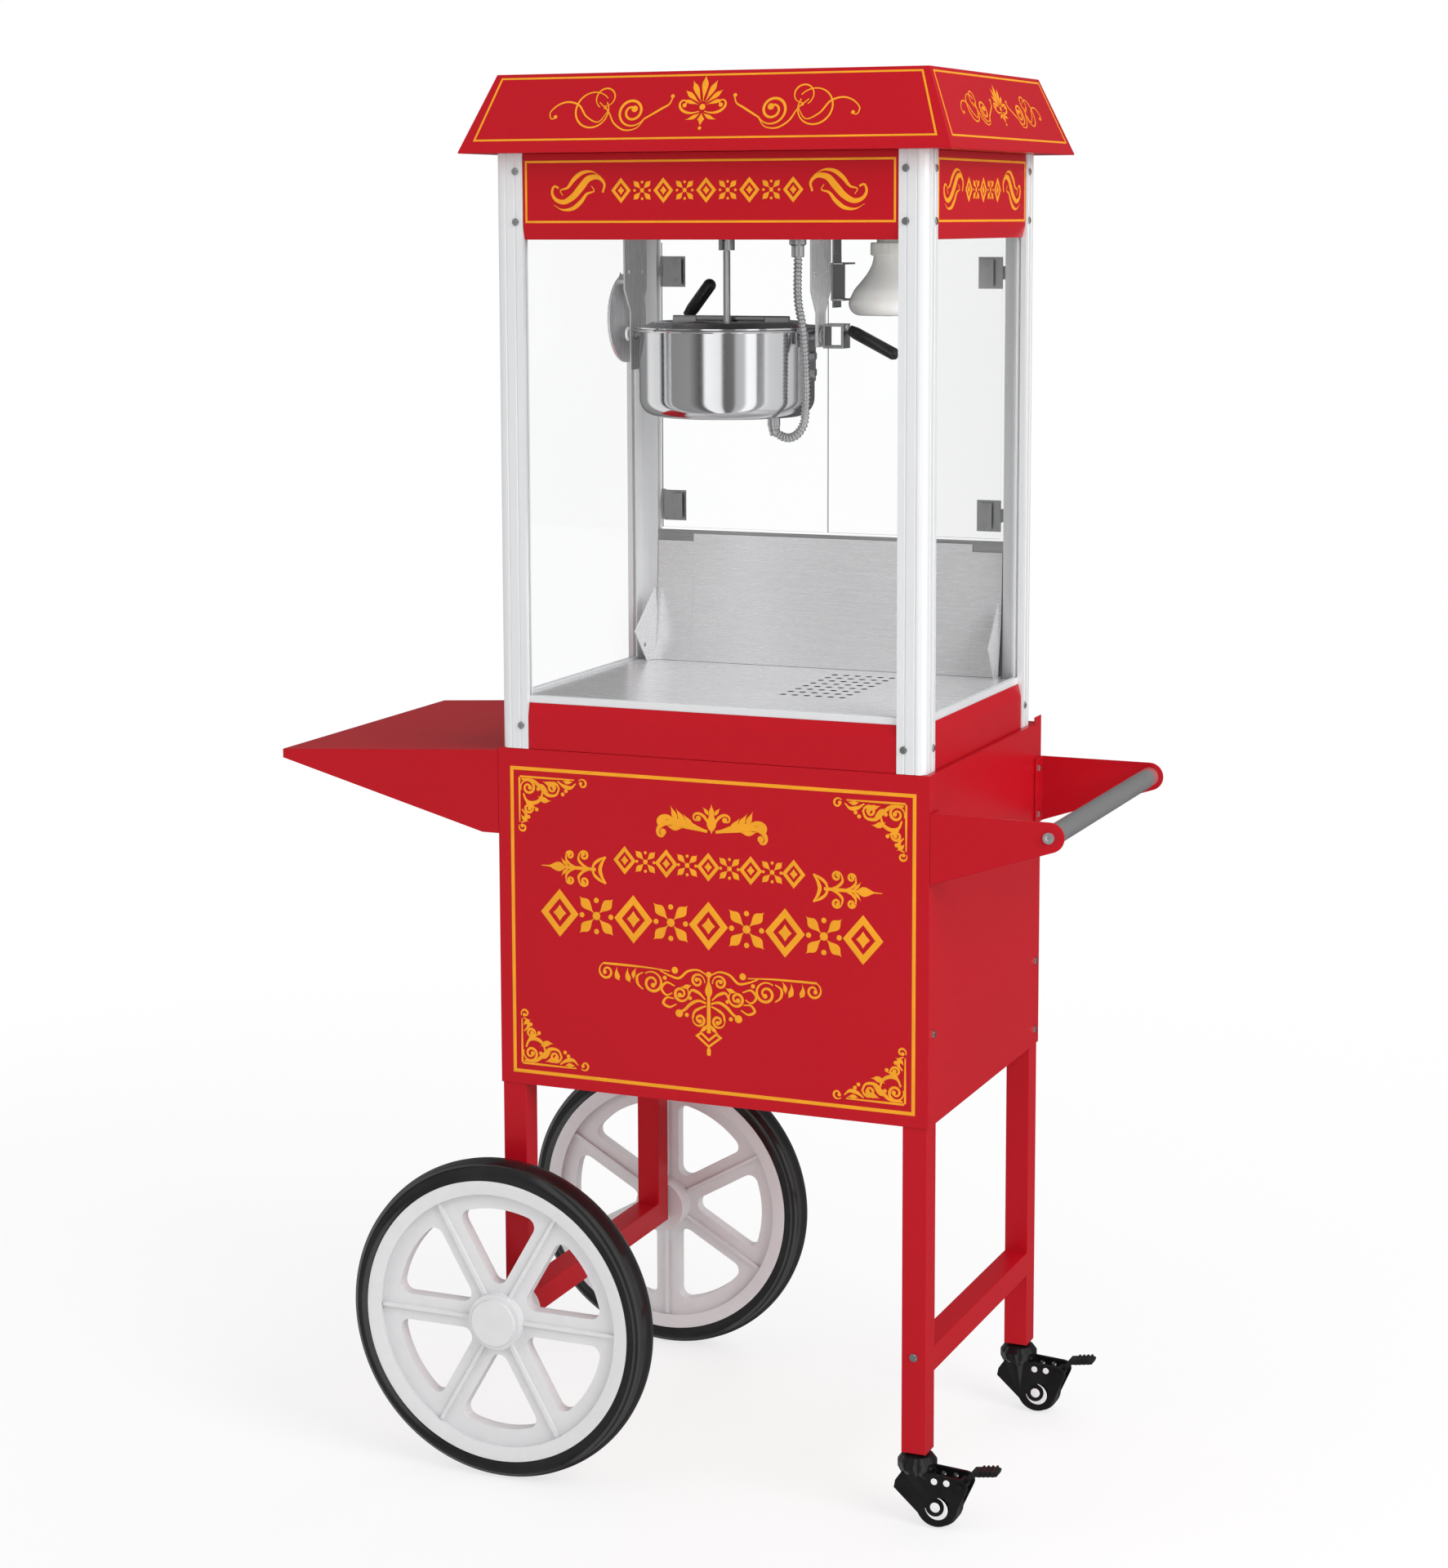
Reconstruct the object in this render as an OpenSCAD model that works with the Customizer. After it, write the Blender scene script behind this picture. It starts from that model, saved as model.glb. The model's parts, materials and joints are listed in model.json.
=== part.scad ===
// Retro popcorn maker on a two-wheel cart.
// X points to the push-handle side, -Y to the customer side, Z up. All sizes in mm.
// The origin is on the floor, under the centre of the whole object.

/* [Cabinet and cart] */
// cabinet width
cab_w = 505; // [460:1:560]
// cabinet depth
cab_d = 394; // [380:1:440]
// height of the cabinet's underside above the floor
cab_z = 442; // [410:1:480]
// cabinet height
cab_h = 380; // [340:1:420]
// sheet thickness of the painted panels
sheet = 1.5; // [1:0.1:2]
// side of the square leg tube
leg = 28; // [25:1:32]
// wall of the square leg tube
leg_wall = 2; // [1.5:0.1:3]
// height of the caster legs' bottom over the top of the caster wheels
caster_up = 30; // [28:1:34]
// how far the side shelf reaches
shelf_l = 274; // [200:1:300]
// how much lower the shelf's free edge is than its root
shelf_drop = 16; // [4:1:20]
// height of the shelf's gussets at the root
gusset_h = 97; // [60:1:120]
// reach of the push-handle arms to the bolt
handle_l = 130; // [90:1:140]
// radius of the arms' rounded ends
arm_r = 16; // [14:0.5:20]
// push-bar diameter
bar_d = 22; // [18:0.5:26]

/* [Wheels] */
// radius of the big wheels over the tyre
wheel_r = 182; // [165:1:190]
// tyre width
tyre_w = 40; // [30:1:44]
// distance of each wheel's middle plane outside the cabinet
wheel_gap = 37; // [33:1:48]
// axle diameter
axle_d = 12; // [10:0.5:14]
// radial clearance of turning parts
play = 0.4; // [0.3:0.05:0.6]
// caster wheel radius
caster_r = 25; // [22:0.5:27]
// how far the caster wheel trails behind its stem
trail = 26; // [20:1:30]

/* [Popping cabinet] */
// how far the corner posts stand in from each side of the cart
mach_in = 5.5; // [2:0.5:25]
// how far the popping cabinet stands in from the back of the cart
mach_back = 26; // [24:1:50]
// height of the painted base box
band_h = 51; // [45:1:60]
// height of the top, from the cabinet to the bottom of the sign panels
sign_up = 557; // [500:1:600]
// sign panel height
sign_h = 92; // [80:1:100]
// side of the aluminium corner posts
post = 32; // [30:1:34]
// thickness of the clear panes
pane = 4; // [3:0.5:4]

/* [Roof] */
// how far the eaves stand out over the corner posts
roof_over = 33; // [20:1:40]
// horizontal run of the slope at the left and right
roof_sx = 34; // [20:1:50]
// horizontal run of the slope at the front and back
roof_sy = 29.5; // [20:0.5:50]
// roof height
roof_h = 84; // [60:1:100]

/* [Kettle] */
// outside radius of the kettle body
ket_r = 98; // [90:1:102]
// kettle height up to the rim
ket_h = 98; // [85:1:105]
// how far the kettle's rim hangs below the ceiling plate
ket_dn = 102; // [92:1:130]
// kettle centre, left of the middle
ket_x = -53; // [-60:1:-40]
// tilt pivot below the rim
piv_dz = 8; // [6:1:12]
// stirrer rod diameter
rod_d = 8; // [6:0.5:9]
// hinge line of the lid flap, behind the kettle centre
flap_y = 12; // [10:1:16]

/* [Hidden] */
$fn = 48;
F = -cab_d/2;                 // front plane
B = cab_d/2;                  // cabinet back plane
mach_w = cab_w - 2*mach_in;   // width over the corner posts
mach_d = cab_d - mach_back;   // depth over the corner posts
R = F + mach_d;               // back plane of the popping cabinet
my = (F + R)/2;               // middle of the popping cabinet in Y
top = cab_z + cab_h;          // cabinet top
reach = handle_l + arm_r;     // reach of the push handle
ox = (shelf_l - reach)/2;      // puts the origin under the box's centre
sgn = top + sign_up;          // bottom of the sign panels
eave = sgn + sign_h;          // roof eaves
roof_w = mach_w + 2*roof_over; // roof width at the eaves
roof_d = mach_d + 2*roof_over; // roof depth at the eaves
leg_x = cab_w/2 - sheet - leg/2;  // leg centre line in X
leg_y = cab_d/2 - sheet - leg/2;  // leg centre line in Y
axle_z = wheel_r;             // axle height
wheel_y = B + wheel_gap;      // wheel's middle plane in Y
caster_up0 = 2*caster_r;      // top of the caster wheels
caster_leg_z = caster_up0 + caster_up; // bottom of the caster legs
lip = 14;                     // height of the bevelled edge of band and signs
li = 3.5;                     // inward reach of that bevel
face = 1;                     // set-back of the painted faces behind the posts
slot = pane + 1;              // pane slot width in the posts
g0 = 6.5;                     // pane's outer face behind the post face
deck_z = top + band_h + 5;    // top of the deck
cz = sgn + 3;                 // underside of the ceiling plate
rim = cz - ket_dn;            // kettle rim
kb = rim - ket_h;             // kettle bottom
pz = rim - piv_dz;            // height of the tilt pivot
hang = ket_r + 13;            // inner faces of the two hangers, from the kettle's middle
lev_x = hang + 30;            // root of the dump lever, from the kettle's middle
bar_e = ket_r - 28;           // outer ends of the lid's hinge barrels
rw = mach_w/2 - post - 1;     // half width of the ramp behind the deck
drw_w = 212;                  // crumb drawer width
drw_x = -60;                  // left side of the crumb drawer
drw_h = band_h - 15;          // crumb drawer height
sw_xs = [-60, 0, 60];         // places of the three switches
inlet_x = 150;                // place of the mains inlet
lamp_x = 118;                 // place of the lamp
door_y = R - 6 - pane;        // inner faces of the clear doors
hx = mach_w/2 - post - 1;     // hinge axis of the clear doors, from the middle
hy = R + 4;                   // hinge axis of the clear doors in Y
dz0 = deck_z + 158;           // bottom of the clear doors
dz1 = sgn - 6;                // top of the clear doors
cdx = leg_x - leg/2 + 0.5;    // hinge axis of the cabinet door, from the middle
cdy = B + 3.2;                // hinge axis of the cabinet door in Y
arm_t = 3;                    // thickness of the handle arms
bar_z = top - 56;             // push-bar height
bar_x = cab_w/2 + handle_l;   // push-bar centre line
tyre_in = wheel_r - 21;       // inner radius of the tyre
shelf_a = asin(shelf_drop/shelf_l); // slope of the shelf
brake_x = 2*trail;            // brake pivot behind the caster stem
brake_z = caster_up0;         // brake pivot height
red = [0.72, 0.05, 0.10];
alu = [0.88, 0.89, 0.90];
steel = [0.72, 0.73, 0.75];
black = [0.06, 0.06, 0.07];
clear = [0.86, 0.93, 0.96, 0.35];
grey = [0.82, 0.83, 0.84];

// ---- helpers -------------------------------------------------------------
// moves the cart's own middle to its place over the origin
module at() translate([ox, 0, 0]) children();

// cylinder along Y
module ycyl(r, y0, y1, n = 48) translate([0, y0, 0]) rotate([-90, 0, 0])
  cylinder(r = r, h = y1 - y0, $fn = n);

// cylinder along X
module xcyl(r, x0, x1, n = 48) translate([x0, 0, 0]) rotate([0, 90, 0])
  cylinder(r = r, h = x1 - x0, $fn = n);

// flat shape in XZ, extruded along Y from y0 to y1
module xz(y0, y1) translate([0, y1, 0]) rotate([90, 0, 0]) linear_extrude(y1 - y0) children();

// flat shape in YZ, extruded along X from x0 to x1
module yz(x0, x1) translate([x0, 0, 0]) rotate([90, 0, 90]) linear_extrude(x1 - x0) children();

// block with upright sides up to h0, then sloping in to the top at h1
module hip(w0, d0, w1, d1, h0, h1) intersection() {
  xz(-d0, d0) polygon([[-w0/2, 0], [w0/2, 0], [w0/2, h0], [w1/2, h1], [-w1/2, h1], [-w0/2, h0]]);
  yz(-w0, w0) polygon([[-d0/2, 0], [d0/2, 0], [d0/2, h0], [d1/2, h1], [-d1/2, h1], [-d0/2, h0]]);
}

// points of an arc
function arc(c, r, a0, a1, n = 8) =
  [for (i = [0:n]) [c[0] + r*cos(a0 + (a1 - a0)*i/n), c[1] + r*sin(a0 + (a1 - a0)*i/n)]];

// pan-head screw along -Y: head on the plane y = 0, shank going in
module screw(d, head, depth) difference() {
  union() {
    ycyl(head/2, -1.2, 0, 16);
    ycyl(head*0.36, -2.1, -1, 16);
    ycyl(d/2, -0.2, depth, 14);
  }
  translate([-head*0.22, -3, -0.45]) cube([head*0.44, 1.8, 0.9]);
  translate([-0.45, -3, -head*0.22]) cube([0.9, 1.8, head*0.44]);
}

// ---- screw places ---------------------------------------------------------
// on the front and back faces of the posts: distance from the post's outer edge, height
post_pts = [[24, top + 26], [24, sgn + 19], [24, eave - 19]];
// on the side panels of the cabinet at the legs: end (-1 front, 1 back), height
side_pts = [[1, cab_z + 18], [1, cab_z + 100], [-1, cab_z + 100]];
// heights of the bolts of the handle arms
arm_zs = [bar_z + 4, bar_z - 50];
// distance of the shelf bolts from the middle
shelf_ys = [-(leg_y - leg/2 - 17.5), 0, leg_y - leg/2 - 17.5];

// ---- popping cabinet -------------------------------------------------------
// roof: a hollow hipped hood with a flat rim that stands on the posts
module roof_canopy() at() translate([0, my + 9, eave + 0.2]) color(red) difference() {
  hip(roof_w, roof_d, roof_w - 2*roof_sx, roof_d - 2*roof_sy, 1.5, roof_h);
  translate([0, 0, 1.5])
    hip(roof_w - 5, roof_d - 5, roof_w - 2*roof_sx - 4, roof_d - 2*roof_sy - 4, 1, roof_h - 3.5);
  translate([-mach_w/2 + 40, -mach_d/2 + 31, -1]) cube([mach_w - 80, mach_d - 80, 4]);
}

// folded sign sheet, len long, facing -Y, its post plane at y = 0
module sign_sheet(len) yz(-len/2, len/2)
  polygon([[face, sign_h], [face, lip], [face + li, 0], [face + li + sheet, 0],
    [face + sheet, lip + 0.6], [face + sheet, sign_h]]);

module sign_front() at() color(red)
  translate([0, F, sgn]) sign_sheet(mach_w - 2*post - 0.6);

module sign_sides() at() color(red)
  for (s = [-1, 1]) translate([s*mach_w/2, my, sgn])
    rotate([0, 0, s*90]) sign_sheet(mach_d - 2*post - 0.6);

// rear sign sheet with the openings for the three switches and the mains inlet
module control_panel() at() color(red) translate([0, R, sgn]) rotate([0, 0, 180]) difference() {
  sign_sheet(mach_w - 2*post - 0.6);
  for (x = sw_xs) translate([-x - 9, -5, 40]) cube([18, 15, 28]);
  translate([-inlet_x - 14, -5, 36]) cube([28, 15, 22]);
}

// ceiling: a stainless tray over the popping chamber
module ceiling_plate() at() color(steel) difference() {
  union() {
    translate([-mach_w/2 + 14, F + 14, cz]) cube([mach_w - 28, mach_d - 28, 2]);
    for (s = [0, 1]) translate([-mach_w/2 + post + 1, s ? R - 15.5 : F + 14, cz + 2])
      cube([mach_w - 2*post - 2, 1.5, 14]);
  }
  translate([ket_x, my, cz - 1]) cylinder(r = 11, h = 4);
  translate([gx, con_y, cz - 1]) cylinder(r = 8.3, h = 4);
  for (y = [R - 81, R - 51], x = [-120:30:120]) translate([x, y, cz - 1])
    cylinder(r = 4, h = 4, $fn = 24);
}

// corner post section, outer corner at (0, 0), legs along +X and +Y
function post_pts2() = let (c = 7, w = post, a = slot, b = g0 - 0.5)
  [[w, 0], [24.2, 0], [23.6, 0.9], [22.8, 0.9], [22.2, 0], [13, 0], [12.4, 0.9], [11.6, 0.9], [11, 0],
   [c, 0], [c*0.62, 0.28*c*0.5], [0.28*c*0.5, c*0.62], [0, c],
   [0, 11], [0.9, 11.6], [0.9, 12.4], [0, 13], [0, 22.2], [0.9, 22.8], [0.9, 23.6], [0, 24.2], [0, w],
   [b, w], [b, w - 8], [b + a, w - 8], [b + a, w], [13, w], [13, 13], [w, 13],
   [w, b + a], [w - 8, b + a], [w - 8, b], [w, b]];

module corner_post(sx, sy) difference() {
  translate([0, 0, top + 0.2]) linear_extrude(eave - top - 0.1)
    polygon([for (p = post_pts2())
      [sx*(mach_w/2 - p[0]), sy < 0 ? F + p[1] : R - p[1]]]);
  for (p = post_pts) {
    translate([sx*(mach_w/2 - p[0]), sy < 0 ? F : R, p[1]]) ycyl(2.1, -5, 5);
    translate([sx*mach_w/2, sy < 0 ? F + p[0] : R - p[0], p[1]]) xcyl(2.1, -5, 5);
  }
}

module corner_posts() at() color(alu) for (sx = [-1, 1], sy = [-1, 1]) corner_post(sx, sy);

// clear panes, held in the post slots and in the channels
pw = mach_w - 2*post + 14;    // width of the front pane
pd = mach_d - 2*post + 14;    // width of a side pane
pz0 = top + band_h + 3.5;     // bottom of the panes
pz1 = sgn + 11;               // top of the panes

module glass_front() at() color(clear)
  translate([-pw/2, F + g0, pz0]) cube([pw, pane, pz1 - pz0]);

module glass_sides() at() color(clear) for (s = [-1, 1])
  translate([s > 0 ? mach_w/2 - g0 - pane : -mach_w/2 + g0, my - pd/2, pz0])
    cube([pane, pd, pz1 - pz0]);

// U-shaped strips on the base box that hold the panes' lower edges
module channel(len) difference() {
  translate([-len/2, 5.4, 0]) cube([len, 7.2, 8]);
  translate([-len, g0 - 0.5, 2.5]) cube([2*len, pane + 1, 8]);
}

module glass_channels() at() color(alu) {
  translate([0, F, top + band_h + 0.2]) channel(mach_w - 2*post - 0.6);
  for (s = [-1, 1]) translate([s*mach_w/2, my, top + band_h + 0.2])
    rotate([0, 0, s*90]) channel(mach_d - 2*post - 0.6);
}

// painted base box under the deck, open at the back for the crumb drawer
module base_box() at() color(red) difference() {
  translate([0, my, top + 0.2]) hip(mach_w - 2*face, mach_d - 2*face,
    mach_w - 2*face - 2*li, mach_d - 2*face - 2*li, band_h - lip, band_h);
  translate([-mach_w/2 + 3, F + 3, top + 1.7]) cube([mach_w - 6, mach_d - 6, band_h - 17]);
  translate([-mach_w/2 + 14, F + 14, top + 1.7]) cube([mach_w - 28, mach_d - 28, band_h]);
  for (sx = [-1, 1], sy = [0, 1])
    translate([sx > 0 ? mach_w/2 - post - 0.2 : -mach_w/2 - 0.2, sy ? R - post - 0.2 : F - 0.2, top - 1])
      cube([post + 0.4, post + 0.4, band_h + 8]);
  translate([drw_x - 2, R - 20, top + 1.7]) cube([drw_w + 4, 40, drw_h + 3]);
}

// stainless deck with 6 x 8 sifting holes over the crumb drawer
module deck_plate() at() color(steel) difference() {
  union() {
    translate([-mach_w/2 + 14, F + 14, deck_z - 1.5]) cube([mach_w - 28, R - F - 26, 1.5]);
    for (s = [0, 1]) translate([-mach_w/2 + 16, s ? R - 16 : F + 16, top + band_h - 6])
      cube([mach_w - 32, 1.5, deck_z - top - band_h + 5.5]);
  }
  for (i = [0:5], j = [0:7])
    translate([drw_x + 94 + i*14, my - 49 + j*23, deck_z - 3]) cylinder(r = 4, h = 4, $fn = 24);
  for (sx = [-1, 1]) translate([sx*(mach_w/2 - post/2), R - post/2, deck_z])
    cube([post + 1, post + 1, 8], center = true);
}

// curved stainless ramp behind the deck, with a raised middle tab and two side wings
ry0 = R - 28;                 // foot of the ramp
ry1 = R - 13;                 // top of the ramp
rh = 142;                     // ramp height
function ramp_y(t) = ry1 - (ry1 - ry0)*pow(1 - t, 2.2);
module ramp_strip(x0, x1, h) yz(x0, x1) polygon(concat(
  [for (i = [0:12]) [ramp_y(i/12), deck_z + 0.3 + h*i/12]],
  [for (i = [12:-1:0]) [ramp_y(i/12) + 1.5, deck_z + 0.3 + h*i/12]]));
module popcorn_ramp() at() color(steel) {
  ramp_strip(-rw, 46 - rw, rh);
  ramp_strip(46 - rw, rw - 36, rh + 9);
  ramp_strip(rw - 36, rw, rh);
  for (s = [-1, 1]) translate([s*(rw - 1), ry0 + 1, deck_z + 0.3]) rotate([0, 0, s*5]) difference() {
    yz(s > 0 ? 0 : -1.5, s > 0 ? 1.5 : 0) polygon([[1, 0], [-18, 0], [-48, 38], [2, 86], [6, 60]]);
    translate([0, -24, 20]) xcyl(3, -5, 5);
  }
}

// stainless panel behind the ramp, under the clear doors
module back_panel() at() color(steel)
  translate([-pw/2, R - 10.3, top + band_h + 0.3]) cube([pw, 2, dz0 - top - band_h - 3]);

// crumb drawer with a folded pull, sliding out at the back
module crumb_drawer() at() color(steel) translate([drw_x, F + 60, top + 2.2]) difference() {
  union() {
    cube([drw_w, mach_d - 60, drw_h]);
    translate([-5, mach_d - 60.5, -1.4]) cube([drw_w + 10, 2, drw_h + 9]);
    translate([drw_w/2 - 40, mach_d - 59, drw_h - 10]) cube([80, 16, 2]);
    translate([drw_w/2 - 40, mach_d - 45, drw_h - 18]) cube([80, 2, 10]);
  }
  translate([1.5, 1.5, 1.5]) cube([drw_w - 3, mach_d - 63.5, drw_h + 24]);
}

// ---- clear rear doors --------------------------------------------------------
hz = [dz0 + 8, dz1 - 52];     // lower ends of the two hinges

// moving leaf around the axis at the origin, 36 high
module moving_leaf(s) difference() {
  union() {
    translate([s > 0 ? 5 : -33, -9.9, 0]) cube([28, 1.5, 36]);
    translate([0, 0, 10.4]) cylinder(r = 3, h = 15.2);
    translate([s > 0 ? 0 : -6.5, -1.5, 10.4]) cube([6.5, 1.5, 15.2]);
    translate([s > 0 ? 5 : -6.5, -9.9, 10.4]) cube([1.5, 9.9, 15.2]);
  }
  cylinder(r = 1.5 + play, h = 40);
  for (z = [8, 28]) translate([s*22, 0, z]) ycyl(2.1, -20, 0);
}

// one clear door, hinged on side s (-1 left, 1 right)
module clear_door(s) at() color(clear) difference() {
  translate([s < 0 ? -hx + 4 : 1, door_y, dz0]) cube([hx - 5, pane, dz1 - dz0]);
  for (z = hz, k = [8, 28]) translate([s*(hx - 22), R, z + k]) ycyl(2.1, -20, 0);
}

module rear_door_left() clear_door(-1);
module rear_door_right() clear_door(1);

// leaves on a clear door, with the two screws through the pane
module door_leaves(s) at() color(steel) translate([s*hx, hy, 0]) for (z = hz) translate([0, 0, z]) {
  moving_leaf(-s);
  for (k = [8, 28]) translate([-s*22, -10 - pane, k]) screw(4, 8, pane + 4);
  translate([-s*22 - 8, -10 - pane, 3]) difference() {
    translate([0, -1.2, 0]) cube([16, 1.2, 30]);
    translate([8, 0, 5]) ycyl(4.1, -5, 5);
    translate([8, 0, 25]) ycyl(4.1, -5, 5);
  }
}
module leaves_left() door_leaves(-1);
module leaves_right() door_leaves(1);

// fixed leaves and pins of the four door hinges and the two cabinet-door hinges
module fixed_leaf(s, back, h, a) {
  translate([s > 0 ? 4 : -26, back, 0]) cube([22, 1.5, h]);
  cylinder(r = 1.5, h = h);
  for (z = [0, h - a]) translate([0, 0, z]) {
    cylinder(r = 3, h = a);
    translate([s > 0 ? 0 : -6, -2.8, 0]) cube([6, 1.3, a]);
    translate([s > 0 ? 4 : -5.5, back, 0]) cube([1.5, -1.5 - back, a]);
  }
}
module hinge_leaves() at() color(steel) {
  for (s = [-1, 1], z = hz) translate([s*hx, hy, z]) fixed_leaf(s, -3.9, 36, 10);
  for (z = [cab_z + 60, top - 110]) translate([-cdx, cdy, z]) fixed_leaf(-1, -4.6, 50, 15);
}

// depths of the two yoke bolts below the pivot
bolt_dz = [22, 40];

// ---- drive, lamp, kettle -------------------------------------------------------
// stirrer gear motor on the ceiling plate
module gear_motor() at() color(steel) translate([ket_x, my, cz + 2]) difference() {
  union() {
    translate([-24, -30, 0]) cube([84, 60, 26]);
    translate([32, 0, 26]) cylinder(r = 27, h = 44);
    translate([32, 0, 70]) cylinder(r = 20, h = 6);
  }
  translate([0, 0, -1]) cylinder(r = 6 + play, h = 20);
}

// motor-side half of the dog coupling: its slot lets the tang out sideways when parked
module drive_coupling() at() color(steel) translate([ket_x, my, 0]) difference() {
  union() {
    translate([0, 0, cz - 16]) cylinder(r = 9, h = 14);
    translate([0, 0, cz - 2]) cylinder(r = 6, h = 20);
  }
  translate([-2.2, -15, cz - 17]) cube([4.4, 30, 13]);
}

// stirrer rod with its tang on top and two bent wires that sweep the kettle floor
module stirrer() at() color(steel) translate([ket_x, my, 0]) {
  translate([0, 0, kb + 22.4]) cylinder(r = rod_d/2, h = cz - 16.6 - kb - 22.4);
  translate([-1.6, -3.5, cz - 16.8]) cube([3.2, 7, 11]);
  difference() {
    translate([0, 0, kb + 22.4]) cylinder(r = 9, h = 12);
    translate([0, 0, kb + 22]) cylinder(r = rod_d/2, h = 14);
  }
  for (a = [0, 180]) rotate([0, 0, a]) {
    translate([0, 0, kb + 25.5]) xcyl(2, 8.5, ket_r - 20);
    translate([ket_r - 24, 0, kb + 25.5]) cylinder(r = 2, h = 14);
    translate([0, 0, kb + 39]) xcyl(2, 30, ket_r - 22);
  }
}

// lamp bracket: a strip from the ceiling with a cross plate for the socket
module lamp_bracket() at() color(steel) translate([0, my + 53, 0]) {
  difference() {
    union() {
      translate([lamp_x - 61, -12, cz - 80]) cube([2, 24, 79.8]);
      translate([lamp_x - 61, -12, cz - 2.2]) cube([22, 24, 2]);
    }
    for (z = [20, 76]) translate([0, 0, cz - z]) xcyl(2.1, lamp_x - 68, lamp_x - 38);
  }
  translate([lamp_x - 59.5, -20, cz - 72]) difference() {
    cube([14, 40, 42]);
    translate([2, -1, 2]) cube([30, 50, 38]);
  }
}

module lamp_socket() at() color(black) translate([lamp_x, my + 53, cz - 48]) {
  cylinder(r = 19, h = 40.5);
  translate([0, 0, 40]) cylinder(r = 12, h = 7.8);
}

module lamp_bulb() at() color([0.95, 0.95, 0.93]) translate([lamp_x, my + 53, cz - 48.2]) difference() {
  rotate_extrude() polygon(concat(
    [[0, -41], [24, -40]], arc([30, -27], 13, -80, 30, 8),
    [[37, -11], [28, -4], [18, -0.2], [0, -0.2]]));
  translate([0, 0, -60]) cylinder(r = 1, h = 10);
}

// two hangers: plates in YZ with bored ends, foot flanges, and the dished detent disc on the left
module hanger(x, bot, s) difference() {
  union() {
    translate([x, -30, cz - 60]) cube([2, 60, 59.8]);
    translate([x + (s > 0 ? 2 : -16), -30, cz - 2.2]) cube([16, 60, 2]);
    yz(x, x + 2) polygon([[-30, cz - 59], [30, cz - 59], [14, cz - 84], [14, bot], [-14, bot], [-14, cz - 84]]);
  }
  translate([0, 0, pz]) xcyl(6 + play, x - 5, x + 5);
  for (y = [-18, 18]) translate([0, y, cz - 40]) xcyl(3, x - 5, x + 5);
}
module kettle_hangers() at() color(steel) translate([ket_x, my, 0]) {
  hanger(-hang - 2, pz - 40, -1);
  hanger(hang, pz - 12, 1);
  difference() {
    translate([0, 0, pz + 18]) xcyl(50, -hang - 13, -hang - 10);
    translate([0, 0, pz + 18]) xcyl(40, -hang - 15, -hang - 11.2);
    translate([0, 0, pz]) xcyl(8, -hang - 19, -hang - 7);
    translate([-hang - 15, 4, pz + 2]) cube([10, 22, 46]);
  }
  for (y = [-30, 30]) translate([0, y*0.7, pz + 60]) xcyl(4, -hang - 10, -hang - 2);
}

// kettle: stainless pan with a rolled rim and a closed floor above the heater space
module kettle_bowl() at() color(steel) translate([ket_x, my, kb]) difference() {
  rotate_extrude() polygon(concat(
    [[0, 3], [ket_r - 20, 3]], arc([ket_r - 20, 20], 20, -90, 0, 8),
    [[ket_r, ket_h - 3], [ket_r + 8, ket_h - 3], [ket_r + 9, ket_h - 1.5], [ket_r + 8, ket_h],
     [ket_r - 2, ket_h]], arc([ket_r - 14, 34], 12, 0, -90, 6), [[0, 22]]));
  translate([0, 0, -1]) cylinder(r = ket_r - 19.4, h = 20);
  for (s = [-1, 1], z = bolt_dz)
    translate([0, 0, ket_h - piv_dz - z]) xcyl(3.2, s > 0 ? ket_r - 8 : -ket_r - 6, s > 0 ? ket_r + 6 : 8 - ket_r);
}

// heater: a ring element in the space under the floor, and its cover plate
module kettle_heater() at() color(steel) translate([ket_x, my, kb]) {
  difference() {
    translate([0, 0, 0.4]) cylinder(r = ket_r - 19.8, h = 2.4);
    for (a = [0:120:240]) rotate([0, 0, a]) translate([30, 0, 0]) cylinder(r = 2, h = 5);
  }
  translate([0, 0, 12]) rotate_extrude() translate([52, 0]) circle(r = 5);
  for (a = [60:120:300]) rotate([0, 0, a]) translate([52, 0, 2.8]) cylinder(r = 3, h = 5);
  translate([ket_r - 32, -24, -9]) cylinder(r = 7, h = 9.6);
}

// tilt yoke: side plates, pivot pins with collars, and the dump bracket on the right
module kettle_yoke() at() color(steel) translate([ket_x, my, 0]) {
  for (s = [-1, 1]) {
    difference() {
      translate([s > 0 ? ket_r - 8 : -ket_r - 4, -12, pz - 50]) cube([12, 24, 50 + piv_dz - 3.4]);
      translate([0, 0, pz - 60]) cylinder(r = ket_r + 0.1, h = 80);
    }
    translate([0, 0, pz]) xcyl(piv_dz - 3.6, s > 0 ? ket_r + 3.8 : -ket_r - 10, s > 0 ? ket_r + 10 : -ket_r - 3.8);
    translate([0, 0, pz]) xcyl(6, s > 0 ? ket_r + 9.6 : -hang - 8, s > 0 ? hang + 8 : -ket_r - 9.6);
    translate([0, 0, pz]) xcyl(9, s > 0 ? hang + 2.6 : -hang - 5.4, s > 0 ? hang + 5.4 : -hang - 2.6);
    for (z = bolt_dz) translate([0, 0, pz - z]) {
      xcyl(3, s > 0 ? ket_r - 6 : -ket_r - 8, s > 0 ? ket_r + 8 : 6 - ket_r);
      rotate([0, 90, 0]) translate([0, 0, s > 0 ? ket_r + 4 : -ket_r - 8]) cylinder(r = 5.6, h = 4, $fn = 6);
    }
  }
  difference() {
    translate([hang + 7.8, -11, pz - 13]) cube([24, 22, 27]);
    translate([hang + 10, -20, pz - 10]) cube([19, 40, 21]);
  }
  translate([lev_x, 0, pz + 10]) sphere(r = 4.2);
  translate([lev_x, 0, pz + 10]) rotate([0, 116.6, 0]) cylinder(r = 3, h = 62);
}

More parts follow.
